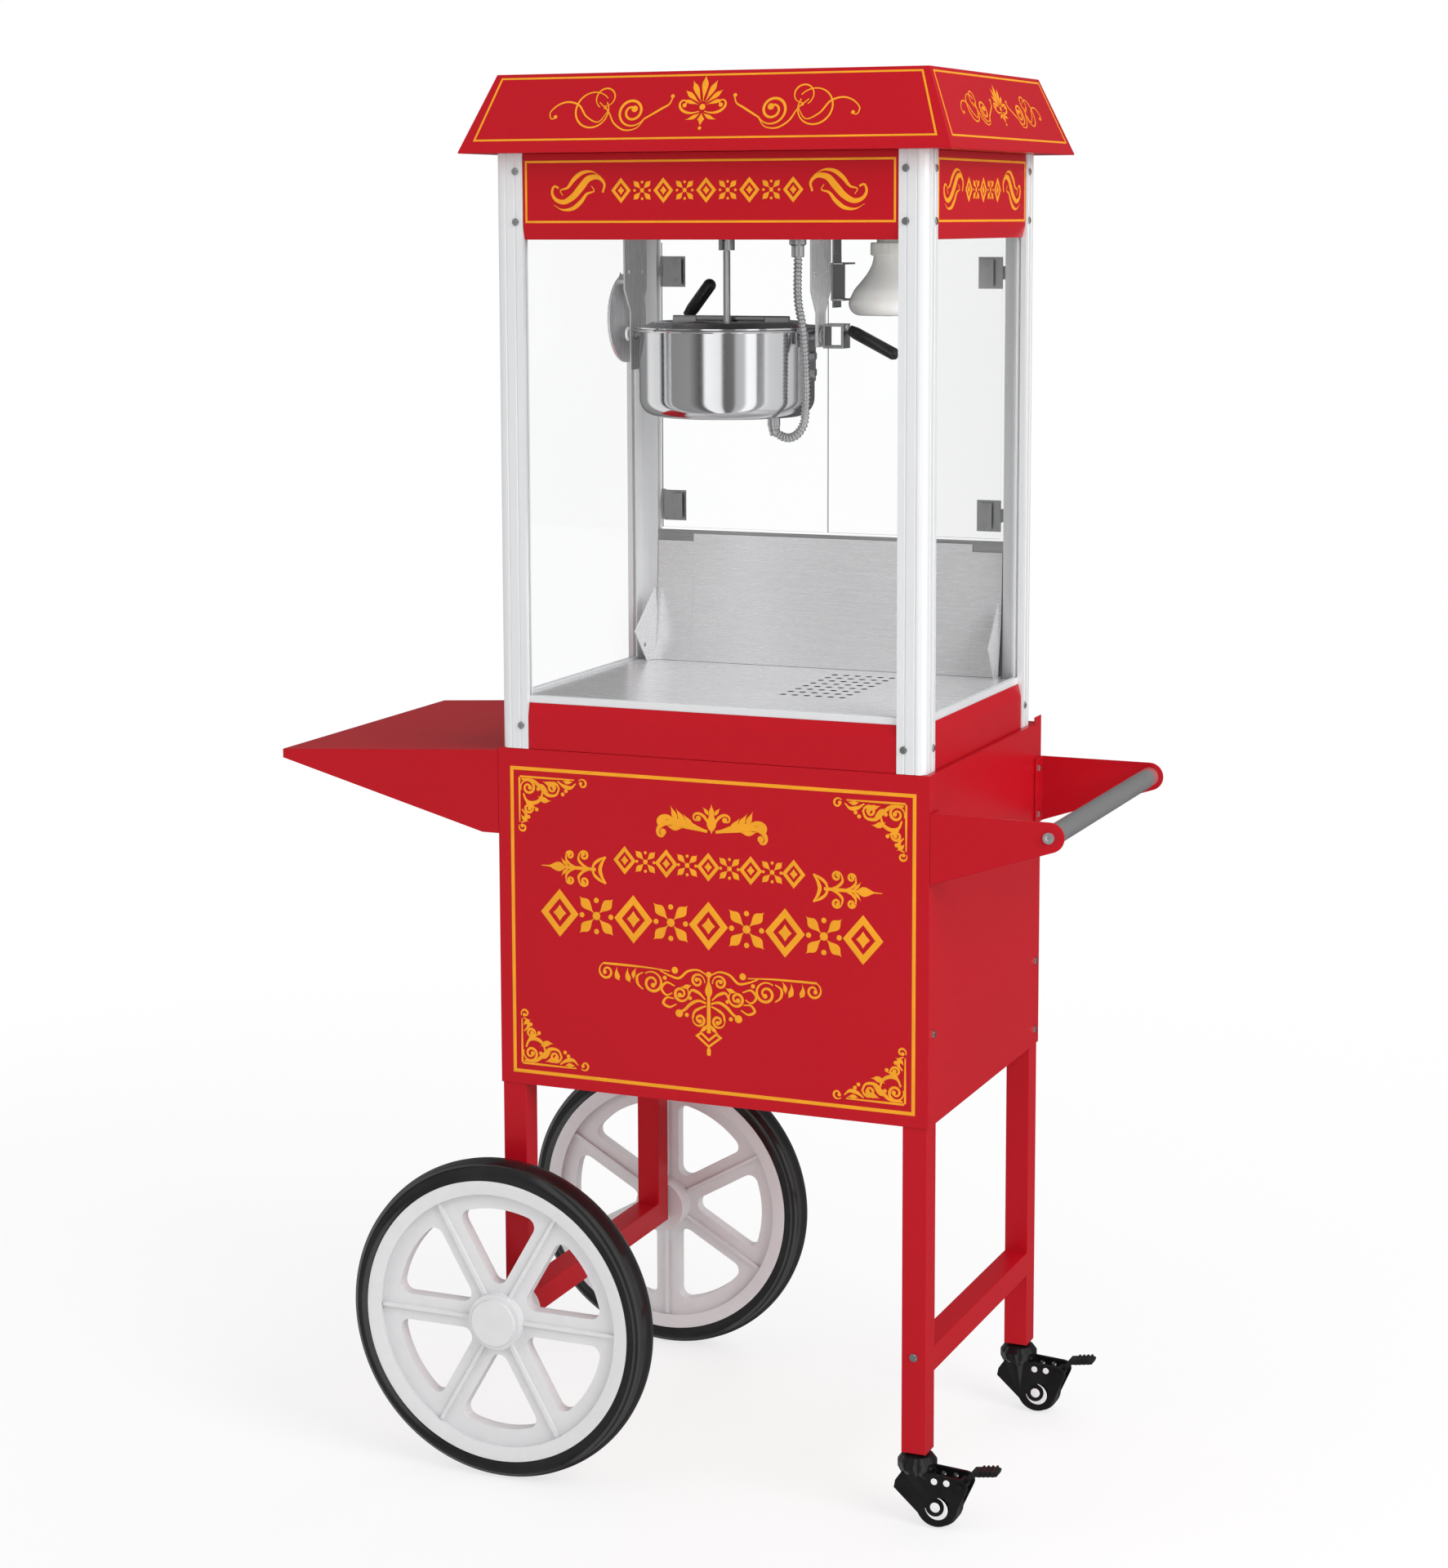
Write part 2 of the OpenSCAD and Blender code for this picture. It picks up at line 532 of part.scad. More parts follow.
// black grip on the dump lever
module dump_grip() at() color(black) translate([ket_x + lev_x, my, pz + 10]) rotate([0, 116.6, 0])
  difference() {
    union() {
      translate([0, 0, 6]) cylinder(r1 = 5.5, r2 = 6.8, h = 8);
      translate([0, 0, 14]) cylinder(r = 6.8, h = 50);
      translate([0, 0, 64]) cylinder(r1 = 6.8, r2 = 4.5, h = 4);
    }
    translate([0, 0, 5]) cylinder(r = 3.1, h = 57.2);
  }

// lid section, its rim plane at z = 0
module lid_shape() rotate_extrude() polygon([[rod_d/2 + 1.2, 5.6], [ket_r - 15, 5.6],
  [ket_r - 6, 0.4], [ket_r + 7, 0.4], [ket_r + 7, 2], [ket_r - 5.2, 2], [ket_r - 14.2, 7.2],
  [rod_d/2 + 1.2, 7.2]]);

// fixed half of the lid with two hinge barrels and the pin
module lid_front() at() color(steel) translate([ket_x, my, rim]) {
  intersection() {
    lid_shape();
    translate([-150, -150, -1]) cube([300, 150 + flap_y, 20]);
  }
  for (x = [-bar_e, 42]) translate([x, flap_y, 10.4]) difference() {
    union() {
      xcyl(3, 0, bar_e - 42);
      translate([0, -3, -3.4]) cube([bar_e - 42, 3, 3.4]);
    }
    xcyl(1.2, -1, bar_e);
  }
  translate([0, flap_y, 10.4]) xcyl(1.2, -bar_e, bar_e);
}

// flap half of the lid with the middle barrel
module lid_flap() at() color(steel) translate([ket_x, my, rim]) difference() {
  union() {
    intersection() {
      lid_shape();
      translate([-150, flap_y + 0.5, -1]) cube([300, 150, 20]);
    }
    translate([0, flap_y, 10.4]) xcyl(3, -41, 41);
    translate([-41, flap_y + 0.6, 7]) cube([82, 2.4, 3.4]);
  }
  translate([0, flap_y, 10.4]) xcyl(1.2 + play, -90, 90);
  translate([30 - ket_r, ket_r*0.46, 0]) cylinder(r = 2.6, h = 12);
}

// black grip of the lid flap, leaning, on a steel stud foot
module lid_grip() at() color(black) translate([ket_x + 30 - ket_r, my + ket_r*0.46, rim]) {
  translate([0, 0, 4.5]) cylinder(r = 2.5, h = 5);
  translate([0, 0, 7.4]) cylinder(r = 8, h = 4);
  translate([2, 0, 13]) rotate([0, 38, 0]) {
    translate([0, 0, -2]) cylinder(r1 = 6, r2 = 7.4, h = 10);
    translate([0, 0, 8]) cylinder(r = 7.4, h = 34);
    translate([0, 0, 42]) sphere(r = 7.4);
  }
}

// flexible metal conduit from the ceiling gland to the heater
con_y = my - 38;              // plane of the conduit's long run
gx = ket_x + ket_r + 2;       // ceiling gland of the conduit
con_pts = [[gx, con_y, cz - 22], [gx + 1, con_y, rim + 26], [gx + 5, con_y, rim + 6],
  [gx + 9, con_y, kb + 56], [gx + 9, con_y, kb + 12], [gx + 6, con_y + 1, kb - 6],
  [gx - 3, con_y + 4, kb - 17], [gx - 14, con_y + 8, kb - 21], [gx - 25, con_y + 12, kb - 19],
  [ket_x + ket_r - 31, my - 24.4, kb - 13.5], [ket_x + ket_r - 32, my - 24, kb - 9.6]];
module heater_conduit() at() color(grey) {
  for (i = [0:len(con_pts) - 2]) let (a = con_pts[i], b = con_pts[i + 1], d = b - a, l = norm(d))
    translate(a) rotate([0, acos(d[2]/l), atan2(d[1], d[0])]) cylinder(r = 4.5, h = l, $fn = 24);
  for (i = [1:len(con_pts) - 2]) translate(con_pts[i]) sphere(r = 5, $fn = 24);
  translate([gx, con_y, cz - 23]) cylinder(r = 7, h = 15);
  translate([gx, con_y, cz - 9]) cylinder(r = 9.5, h = 8.8, $fn = 6);
  translate([gx, con_y, cz - 1]) cylinder(r = 8, h = 12);
}

// ---- rear controls --------------------------------------------------------------
// rocker of a switch, pivoting about X at the origin, facing +Y
module rocker(i) at() translate([sw_xs[i], R - face, sgn + 54]) color(i == 1 ? [0.7, 0.1, 0.08] : black) {
  yz(-5, 5) polygon([[-4, -3], [-4, 3], [-1, 8.4], [3.2, 9], [1.2, 0], [-0.4, -8.6], [-2.2, -8.6]]);
  translate([0, -1.8, 0]) xcyl(1.4, -7, 7, 24);
}
module rocker_light() rocker(0);
module rocker_heat() rocker(1);
module rocker_motor() rocker(2);

// switch frames and the mains inlet socket with its three pins
module rear_fittings() at() color(black) {
  for (x = sw_xs) translate([x, R, sgn + 54]) difference() {
    union() {
      translate([-11, -face + 0.2, -16]) cube([22, 1.6, 32]);
      translate([-8.8, -20, -13.8]) cube([17.6, 19.2, 27.6]);
    }
    translate([-5.6, -12, -10.4]) cube([11.2, 30, 20.8]);
    translate([0, -face - 1.8, 0]) xcyl(1.4 + play/2, -7.5, 7.5, 24);
  }
  translate([inlet_x, R, sgn + 47]) difference() {
    union() {
      translate([-18, -face + 0.2, -14]) cube([36, 2, 28]);
      translate([-13.8, -22, -10.8]) cube([27.6, 21.2, 21.6]);
    }
    translate([-11.5, -16, -8.5]) cube([23, 30, 17]);
  }
  for (x = [-7, 0, 7]) translate([inlet_x + x, R - 16.2, sgn + 47 - (x == 0 ? 3 : -2)])
    rotate([-90, 0, 0]) cylinder(r = 1.6, h = 10);
}

// ---- cart -------------------------------------------------------------------------
// front panel, plain
module cabinet_front() at() color(red)
  translate([-cab_w/2, F, cab_z]) cube([cab_w, sheet - 0.1, cab_h]);

// side panels with the two raised ears that stop the machine at the back
module cabinet_sides() at() color(red) difference() {
  for (s = [-1, 1]) translate([s > 0 ? cab_w/2 - sheet + 0.1 : -cab_w/2, F + sheet, cab_z]) {
    cube([sheet - 0.1, cab_d - sheet, cab_h]);
    translate([0, cab_d - sheet - 24, 0]) cube([sheet - 0.1, 24, cab_h + 8]);
  }
  for (s = [-1, 1], p = side_pts) translate([s*cab_w/2, p[0]*leg_y, p[1]]) xcyl(2.6, -5, 5);
  for (s = [-1, 1], z = arm_zs) translate([cab_w/2, s*leg_y, z]) xcyl(2.6, -5, 5);
  for (y = shelf_ys) translate([-cab_w/2, y, top - 60]) xcyl(2.6, -5, 5);
}

// floor and top of the cabinet, notched around the legs; their back edges are folded
module cabinet_decks() at() color(red) {
  for (z = [cab_z, top - sheet]) difference() {
    union() {
      translate([-cab_w/2 + sheet, F + sheet, z]) cube([cab_w - 2*sheet, cab_d - 2*sheet, sheet]);
      translate([-leg_x + leg/2 + 1, B - 30, z > cab_z ? z - 14 : z]) cube([2*leg_x - leg - 2, 1.5, 15.5]);
    }
    if (z == cab_z) for (sx = [-1, 1], sy = [-1, 1])
      translate([sx*leg_x, sy*leg_y, z]) cube([leg + 0.6, leg + 0.6, 9], center = true);
  }
}

// rear door of the cabinet: a folded tray with hinge barrels and a round pull
module cabinet_door() at() color(red) {
  translate([-cdx, cdy, 0]) {
    difference() {
      translate([2.4, -8.2, cab_z + 3]) cube([2*cdx - 4.8, 6, cab_h - 7.5]);
      translate([3.9, -9, cab_z + 4.5]) cube([2*cdx - 7.8, 5.3, cab_h - 10.5]);
    }
    for (z = [cab_z + 60, top - 110]) translate([0, 0, z + 15.4]) difference() {
      union() {
        cylinder(r = 3, h = 19.2);
        translate([0, -2.4, 0]) cube([8, 1.5, 19.2]);
      }
      translate([0, 0, -1]) cylinder(r = 1.5 + play, h = 30);
    }
  }
  translate([cdx - 30, B + 0.9, cab_z + cab_h/2]) ycyl(6, 0, 12);
  translate([cdx - 30, B + 12.9, cab_z + cab_h/2]) ycyl(14, 0, 9);
}

// side shelf: one folded sheet with a sloping top, two gussets and a root flange
module side_shelf() at() color(red) {
  x0 = -cab_w/2 - 0.2;
  x1 = -cab_w/2 - shelf_l;
  xz(-cab_d/2, cab_d/2) polygon([[x0, top - 3], [x1, top - 3 - shelf_drop], [x1, top - 4.6 - shelf_drop],
    [x0, top - 4.6]]);
  for (y = [F, B - 1.6]) xz(y, y + 1.6) polygon([[x0, top - 4.6], [x1, top - 4.6 - shelf_drop],
    [x1, top - 13 - shelf_drop], [x0 - 20, top - gusset_h], [x0, top - gusset_h]]);
  difference() {
    translate([x0 - 1.6, F + 1.6, top - gusset_h]) cube([1.6, cab_d - 3.2, gusset_h - 4.7]);
    for (y = shelf_ys) translate([0, y, top - 60]) xcyl(2.6, x0 - 9, x0 + 9);
  }
  xz(F + 1.6, B - 1.6) polygon([[x1, top - 4.6 - shelf_drop], [x1 + 1.6, top - 4.5 - shelf_drop],
    [x1 + 1.6, top - 13 - shelf_drop], [x1, top - 13 - shelf_drop]]);
}

// push-handle arms: tapered plates with round ends and a flange on the side panel
module handle_arms() at() color(red) for (s = [-1, 1]) difference() {
  union() {
    xz(s < 0 ? F : B - arm_t, s < 0 ? F + arm_t : B) polygon(concat([[cab_w/2 + 0.2, bar_z - 60],
      [cab_w/2 + 0.2, bar_z + arm_r]], arc([bar_x, bar_z], arm_r, 90, -68, 12)));
    translate([cab_w/2 + 0.2, s < 0 ? F : B - 26, bar_z - 60]) cube([2.5, 26, 60 + arm_r]);
  }
  translate([bar_x, 0, bar_z]) ycyl(4.2, -B - 5, B + 5);
  for (z = arm_zs) translate([cab_w/2, s*leg_y, z]) xcyl(2.6, -5, 8);
}

// chrome push bar with a bolt through each end
module push_bar() at() color(grey) translate([bar_x, 0, bar_z]) {
  difference() {
    ycyl(bar_d/2, F + arm_t + 0.2, B - arm_t - 0.2);
    ycyl(bar_d/2 - 1.5, F + 20, B - 20);
  }
  for (s = [-1, 1]) {
    ycyl(3.9, s < 0 ? F - 0.2 : B - 18, s < 0 ? F + 18 : B + 0.2);
    difference() {
      ycyl(6, s < 0 ? F - 3.2 : B + 0.1, s < 0 ? F - 0.1 : B + 3.2);
      translate([0, s*(B + 3.4), 0]) rotate([90, 0, 0]) cylinder(r = 3, h = 3, center = true, $fn = 6);
    }
  }
}

// square tube leg from z0 up to the cabinet top, closed by a bored plug at the bottom
module leg_tube(z0, bore) translate([0, 0, z0]) difference() {
  translate([-leg/2, -leg/2, 0]) cube([leg, leg, top - sheet - 0.2 - z0]);
  translate([-leg/2 + leg_wall, -leg/2 + leg_wall, 16])
    cube([leg - 2*leg_wall, leg - 2*leg_wall, top]);
  translate([0, 0, -1]) cylinder(r = bore, h = 30);
}

// two wheel legs and the hollow beam that holds the axle
module legs_left() at() color(red) translate([-leg_x, 0, 0]) difference() {
  union() {
    for (s = [-1, 1]) translate([0, s*leg_y, 0]) leg_tube(axle_z - leg/2, 3);
    translate([-leg/2, -leg_y + leg/2, axle_z - leg/2]) cube([leg, 2*leg_y - leg, leg]);
  }
  translate([-leg/2 + 2, -leg_y - 8, axle_z - leg/2 + 2]) cube([leg - 4, 2*leg_y + 16, leg - 4]);
  translate([0, 0, axle_z]) ycyl(axle_d/2 + 0.15, -B - 10, B + 10);
  for (p = side_pts) translate([-leg/2, p[0]*leg_y, p[1]]) xcyl(2.6, -5, 5);
}

// two caster legs and their cross bar
module legs_right() at() color(red) translate([leg_x, 0, 0]) difference() {
  union() {
    for (s = [-1, 1]) translate([0, s*leg_y, 0]) leg_tube(caster_leg_z, 5 + play);
    translate([-leg/2, -leg_y + leg/2, axle_z - leg/2 - 2]) cube([leg, 2*leg_y - leg, leg]);
  }
  translate([-leg/2 + 2, -leg_y, axle_z - leg/2]) cube([leg - 4, 2*leg_y, leg - 4]);
  for (s = [-1, 1]) translate([0, s*leg_y, axle_z + 6]) ycyl(2.6, -leg, leg);
  for (p = side_pts) translate([leg/2, p[0]*leg_y, p[1]]) xcyl(2.6, -5, 5);
  for (s = [-1, 1], z = arm_zs) translate([leg/2, s*leg_y, z]) xcyl(2.6, -5, 5);
}

// steel axle through the beam and both big wheels, with a collar beside each leg
module wheel_axle() at() color(steel) translate([-leg_x, 0, axle_z]) {
  ycyl(axle_d/2, -wheel_y - 16, wheel_y + 16);
  for (s = [-1, 1]) difference() {
    ycyl(10, s < 0 ? -B - 1.5 : B - 1.2, s < 0 ? -B + 1.2 : B + 1.5);
    ycyl(axle_d/2, -B - 20, B + 20);
  }
}

// opening between two spokes: straight sides, rounded corners
function spoke_gap(w, r, ro) = let (l = sqrt(pow(ro - r, 2) - pow(w + r, 2)), a = atan2(w + r, l),
    d = 2*(w + r), c2 = [(ro - r)*cos(60 - a), (ro - r)*sin(60 - a)])
  concat(arc([l, w + r], r, -90, a), arc([0, 0], ro, a + 2, 58 - a, 10), arc(c2, r, 60 - a, 150),
    arc([d*cos(30), d*sin(30)], r, 150, 270, 5));

// grey plastic wheel: hub, six ribbed spokes, rim and a hub cap that covers the axle end
module wheel_rim(s, turn) at() color(grey) translate([-leg_x, s*wheel_y, axle_z]) rotate([0, turn, 0]) {
  difference() {
    union() {
      xz(-7, 7) difference() {
        circle(r = tyre_in - 9);
        for (a = [0:60:300]) rotate(a) polygon(spoke_gap(13, 9, tyre_in - 19));
      }
      for (a = [0:60:300]) rotate([0, a, 0]) translate([28, -12, -2]) cube([tyre_in - 44, 24, 4]);
      rotate([90, 0, 0]) rotate_extrude() polygon([[tyre_in - 16, -16], [tyre_in - 4, -18],
        [tyre_in, -18], [tyre_in, 18], [tyre_in - 4, 18], [tyre_in - 16, 16], [tyre_in - 12, 0]]);
      ycyl(31.5, s > 0 ? 3 - wheel_gap : -20, s > 0 ? 20 : wheel_gap - 3);
      ycyl(26, s > 0 ? 20 : -24, s > 0 ? 24 : -20);
    }
    ycyl(axle_d/2 + play, s > 0 ? -wheel_gap - 3 : -17, s > 0 ? 17 : wheel_gap + 3);
  }
}
module rim_front() wheel_rim(-1, 0);
module rim_rear() wheel_rim(1, 30);

// black tyre with rounded shoulders
module wheel_tyre(s) at() color(black) translate([-leg_x, s*wheel_y, axle_z]) rotate([90, 0, 0])
  rotate_extrude($fn = 96) polygon(concat([[tyre_in + 0.1, -18]],
    arc([wheel_r - 12, -tyre_w/2 + 12], 12, -90, 0, 5),
    arc([wheel_r - 12, tyre_w/2 - 12], 12, 0, 90, 5), [[tyre_in + 0.1, 18]]));
module tyre_front() wheel_tyre(-1);
module tyre_rear() wheel_tyre(1);

// caster fork: stem, bearing cup, two cheeks, wheel pin and brake pin
module caster_fork(s) at() color(black) translate([leg_x, s*leg_y, 0]) {
  translate([0, 0, caster_up0 + 10]) cylinder(r = 5, h = caster_up + 6);
  translate([0, 0, caster_leg_z]) rotate_extrude() polygon([[0, -22], [19, -22], [21.5, -17],
    [21.5, -10], [17, -4], [9, -1.5], [0, -1.5]]);
  translate([0, 0, caster_up0 + 6]) cylinder(r = 17, h = caster_up - 27);
  for (y = [-15, 11]) difference() {
    xz(y, y + 4) polygon(concat(arc([0, caster_up0 - 10], 22, 90, 180, 4),
      arc([trail, caster_r], caster_r - 2.5, 205, 330, 12),
      arc([brake_x, brake_z], 9, -30, 90, 5), [[0, caster_up0 + 12]]));
    translate([trail + 4, 0, caster_r]) for (a = [-60:30:60])
      translate([9*cos(a), 0, 9*sin(a)]) ycyl(2.6, y - 1, y + 5);
    for (x = [0, 14]) translate([trail + x, 0, caster_up0 + 3]) ycyl(3, y - 1, y + 5);
  }
  translate([-14, -15, caster_up0 + 4]) cube([34, 30, 4]);
  translate([trail, 0, caster_r]) {
    ycyl(3, -12, 12);
    for (t = [-1, 1]) ycyl(7, t < 0 ? -17 : 15, t < 0 ? -15 : 17);
  }
  translate([brake_x, 0, brake_z]) {
    ycyl(2.5, -12, 12);
    for (t = [-1, 1]) ycyl(5, t < 0 ? -17 : 15, t < 0 ? -15 : 17);
  }
}
module caster_fork_front() caster_fork(-1);
module caster_fork_rear() caster_fork(1);

// caster wheel
module caster_wheel(s) at() color(black) translate([leg_x + trail, s*leg_y, caster_r]) difference() {
  rotate([90, 0, 0]) rotate_extrude() polygon([[3 + play, -10], [8, -10], [9, -7], [18, -7], [20, -9],
    [caster_r - 2, -9], [caster_r, -6], [caster_r, 6], [caster_r - 2, 9], [20, 9], [18, 7], [9, 7],
    [8, 10], [3 + play, 10]]);
}
module caster_wheel_front() caster_wheel(-1);
module caster_wheel_rear() caster_wheel(1);

// brake pedal of a caster, with a ribbed pad
module brake_pedal(s) translate([leg_x + brake_x, s*leg_y, brake_z]) difference() {
  union() {
    ycyl(6, -10, 10);
    xz(-8, 8) polygon([[0, 2], [4, 0], [15, 12], [40, 16], [41, 20], [37, 21.5], [12, 17.5]]);
    for (x = [20:5:35]) translate([x, -10, 12.5 + (x - 15)*0.16]) cube([2, 20, 6.4]);
  }
  ycyl(2.5 + play, -20, 20);
}
module brake_pedal_front() at() color(black) brake_pedal(-1);
module brake_pedal_rear() at() color(black) brake_pedal(1);

// screws of the posts
module machine_screws() at() color(steel) for (sx = [-1, 1], sy = [-1, 1], p = post_pts) {
  translate([sx*(mach_w/2 - p[0]), sy < 0 ? F : R, p[1]]) rotate([0, 0, sy < 0 ? 0 : 180])
    screw(4, 8, 4.5);
  translate([sx*mach_w/2, sy < 0 ? F + p[0] : R - p[0], p[1]]) rotate([0, 0, sx*90]) screw(4, 8, 4.5);
}

// bolts of the side panels, handle arms and legs
module cart_bolts() at() color(steel) {
  for (s = [-1, 1], p = side_pts) translate([s*cab_w/2, p[0]*leg_y, p[1]])
    rotate([0, 0, s*90]) screw(5, 9, 3.5);
  for (s = [-1, 1], z = arm_zs) translate([cab_w/2 + 2.7, s*leg_y, z]) rotate([0, 0, 90]) screw(5, 9, 5);
  for (y = shelf_ys) translate([-cab_w/2 - 1.8, y, top - 60]) rotate([0, 0, -90]) screw(5, 9, 5);
  for (s = [-1, 1]) translate([leg_x, s*(leg_y + leg/2), axle_z + 6])
    rotate([0, 0, s < 0 ? 0 : 180]) screw(5, 9, 2);
}

// ---- parts ------------------------------------------------------------------------
roof_canopy();
sign_front();
sign_sides();
control_panel();
ceiling_plate();
corner_posts();
glass_front();
glass_sides();
glass_channels();
base_box();
deck_plate();
popcorn_ramp();
crumb_drawer();
back_panel();
hinge_leaves();
rear_door_left();
rear_door_right();
leaves_left();
leaves_right();
gear_motor();
drive_coupling();
stirrer();
lamp_bracket();
lamp_socket();
lamp_bulb();
kettle_hangers();
kettle_bowl();
kettle_heater();
kettle_yoke();
dump_grip();
lid_front();
lid_flap();
lid_grip();
heater_conduit();
rocker_light();
rocker_heat();
rocker_motor();
rear_fittings();
cabinet_front();
cabinet_sides();
cabinet_decks();
cabinet_door();
side_shelf();
handle_arms();
push_bar();
legs_left();
legs_right();
wheel_axle();
rim_front();
rim_rear();
tyre_front();
tyre_rear();
caster_fork_front();
caster_fork_rear();
caster_wheel_front();
caster_wheel_rear();
brake_pedal_front();
brake_pedal_rear();
machine_screws();
cart_bolts();
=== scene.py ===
"""Popcorn machine on a two-wheel cart: finishes, ornament and fine pieces on the CAD frame.

Lengths inside the ornament and shape functions are in millimetres; meshes are in metres.
"""

import json
import math

import bmesh
import bpy
import numpy as np
from bpy.props import FloatProperty, FloatVectorProperty, PointerProperty
from mathutils import Matrix, Vector
from mathutils.geometry import tessellate_polygon


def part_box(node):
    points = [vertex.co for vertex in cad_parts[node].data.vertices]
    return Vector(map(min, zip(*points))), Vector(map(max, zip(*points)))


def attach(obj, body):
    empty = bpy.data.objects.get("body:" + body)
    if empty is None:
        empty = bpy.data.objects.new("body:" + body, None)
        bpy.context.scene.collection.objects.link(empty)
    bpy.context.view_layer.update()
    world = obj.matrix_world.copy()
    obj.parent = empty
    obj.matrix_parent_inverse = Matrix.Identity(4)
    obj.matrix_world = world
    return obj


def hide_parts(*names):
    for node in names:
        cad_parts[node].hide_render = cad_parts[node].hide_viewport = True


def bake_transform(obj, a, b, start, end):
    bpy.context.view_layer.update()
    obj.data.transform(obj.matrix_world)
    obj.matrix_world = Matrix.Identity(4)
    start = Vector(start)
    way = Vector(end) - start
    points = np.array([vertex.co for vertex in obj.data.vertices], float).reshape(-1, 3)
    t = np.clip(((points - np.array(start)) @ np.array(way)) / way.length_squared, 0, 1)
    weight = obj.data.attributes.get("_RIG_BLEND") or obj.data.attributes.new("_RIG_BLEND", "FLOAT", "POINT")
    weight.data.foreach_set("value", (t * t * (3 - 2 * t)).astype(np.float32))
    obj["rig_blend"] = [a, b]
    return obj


bl_info = {
    "name": "Popcorn Machine",
    "version": (1, 0, 0),
    "blender": (4, 5, 0),
    "location": "View3D > Sidebar > Popcorn",
    "description": "Finishes, ornament and fine pieces of a popcorn machine on its cart",
    "category": "Add Mesh",
}

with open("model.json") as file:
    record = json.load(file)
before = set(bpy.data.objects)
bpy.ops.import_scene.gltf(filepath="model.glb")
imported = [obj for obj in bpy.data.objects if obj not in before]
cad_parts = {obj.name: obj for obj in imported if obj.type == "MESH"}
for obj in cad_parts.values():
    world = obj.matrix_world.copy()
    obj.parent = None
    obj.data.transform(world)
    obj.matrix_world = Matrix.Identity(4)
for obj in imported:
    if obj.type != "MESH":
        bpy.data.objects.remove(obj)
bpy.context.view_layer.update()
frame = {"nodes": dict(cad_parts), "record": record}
NODES = frame["nodes"]
BODY_OF = {
    node: body
    for body, members in frame["record"]["behaviour"]["bodies"].items()
    for node in members
}
MM = 0.001
WHITE = (1, 1, 1, 1)


# ---- meshes ----


def add_piece(name, points, faces, material, body=None, smooth=True):
    """Object from an array of points in metres and lists of faces, riding on a body."""
    mesh = bpy.data.meshes.new(name)
    mesh.from_pydata(points.tolist(), [], faces)
    mesh.polygons.foreach_set("use_smooth", np.full(len(mesh.polygons), smooth))
    mesh.materials.append(material)
    mesh.update()
    piece = bpy.data.objects.new(name, mesh)
    bpy.context.scene.collection.objects.link(piece)
    if body:
        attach(piece, body)
    return piece


def grid_faces(rows, columns, wrap_rows=False, wrap_columns=False):
    """Quads of a grid whose point (i, j) is number i * columns + j; a wrapped side closes on
    itself."""
    i = np.arange(rows if wrap_rows else rows - 1)[:, None]
    j = np.arange(columns if wrap_columns else columns - 1)[None, :]
    a = i * columns + j
    b = (i + 1) % rows * columns + j
    c = (i + 1) % rows * columns + (j + 1) % columns
    d = i * columns + (j + 1) % columns
    return np.stack([a, b, c, d], -1).reshape(-1, 4)


def outward(points, quads):
    """The quads turned round if the volume they enclose, the sum of corner triple products, is
    negative."""
    a, b, c, d = (points[quads[:, k]] for k in range(4))
    volume = (np.cross(a, b) * c).sum() + (np.cross(a, c) * d).sum()
    return quads if volume > 0 else quads[:, ::-1]


def arc(centre, radius, start, end, count=8):
    """Points on a circle from one angle to another, in degrees."""
    t = np.radians(np.linspace(start, end, count + 1))
    return np.stack([centre[0] + radius * np.cos(t), centre[1] + radius * np.sin(t)], 1)


def lathe(profile, centre, axis, count=96):
    """Closed loop of (radius, height) points turned about an axis: each point goes round as centre
    + height * axis + radius * (cos t * u + sin t * v), with u and v square to the axis."""
    profile = np.asarray(profile, float)
    axis = np.asarray(axis, float) / np.linalg.norm(axis)
    helper = np.array([0.0, 0.0, 1.0]) if abs(axis[2]) < 0.9 else np.array([1.0, 0.0, 0.0])
    u = np.cross(axis, helper)
    u /= np.linalg.norm(u)
    v = np.cross(axis, u)
    t = np.linspace(0, 2 * math.pi, count, endpoint=False)[:, None, None]
    ring = np.cos(t) * u + np.sin(t) * v
    points = profile[None, :, :1] * ring + profile[None, :, 1:] * axis + np.asarray(centre, float)
    points = points.reshape(-1, 3) * MM
    quads = grid_faces(count, len(profile), True, True)
    return points, outward(points, quads)


def turned(name, profile, centre, axis, material, body, count=96, replaces=(), keep=35):
    """Lathe piece with doubled points welded; edges sharper than the angle keep stay sharp."""
    points, quads = lathe(profile, centre, axis, count)
    piece = add_piece(name, points, quads.tolist(), material, body)
    tidy_mesh(piece.data, 0, keep, flat=False)
    if replaces:
        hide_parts(*replaces)
    return piece


def slab(name, loops, centre, half, material, body):
    """Upright plate: loops of (across, up) points, the outline first and then its holes, filled at
    half the thickness before and behind the centre and walled between."""
    flat = np.concatenate(loops)
    count = len(flat)
    tris = np.array(tessellate_polygon([[Vector((x, z, 0)) for x, z in loop] for loop in loops]))
    faces = tris.tolist() + (tris[:, ::-1] + count).tolist()
    base = 0
    for loop in loops:
        k = np.arange(len(loop))
        n = (k + 1) % len(loop)
        faces += (np.stack([k, n, n + count, k + count], 1) + base).tolist()
        base += len(loop)
    points = np.concatenate([
        np.insert(flat, 1, -half, axis=1), np.insert(flat, 1, half, axis=1)]) + centre
    piece = add_piece(name, points * MM, faces, material, body, False)
    shell = bmesh.new()
    shell.from_mesh(piece.data)
    bmesh.ops.recalc_face_normals(shell, faces=shell.faces)
    shell.to_mesh(piece.data)
    shell.free()
    return piece


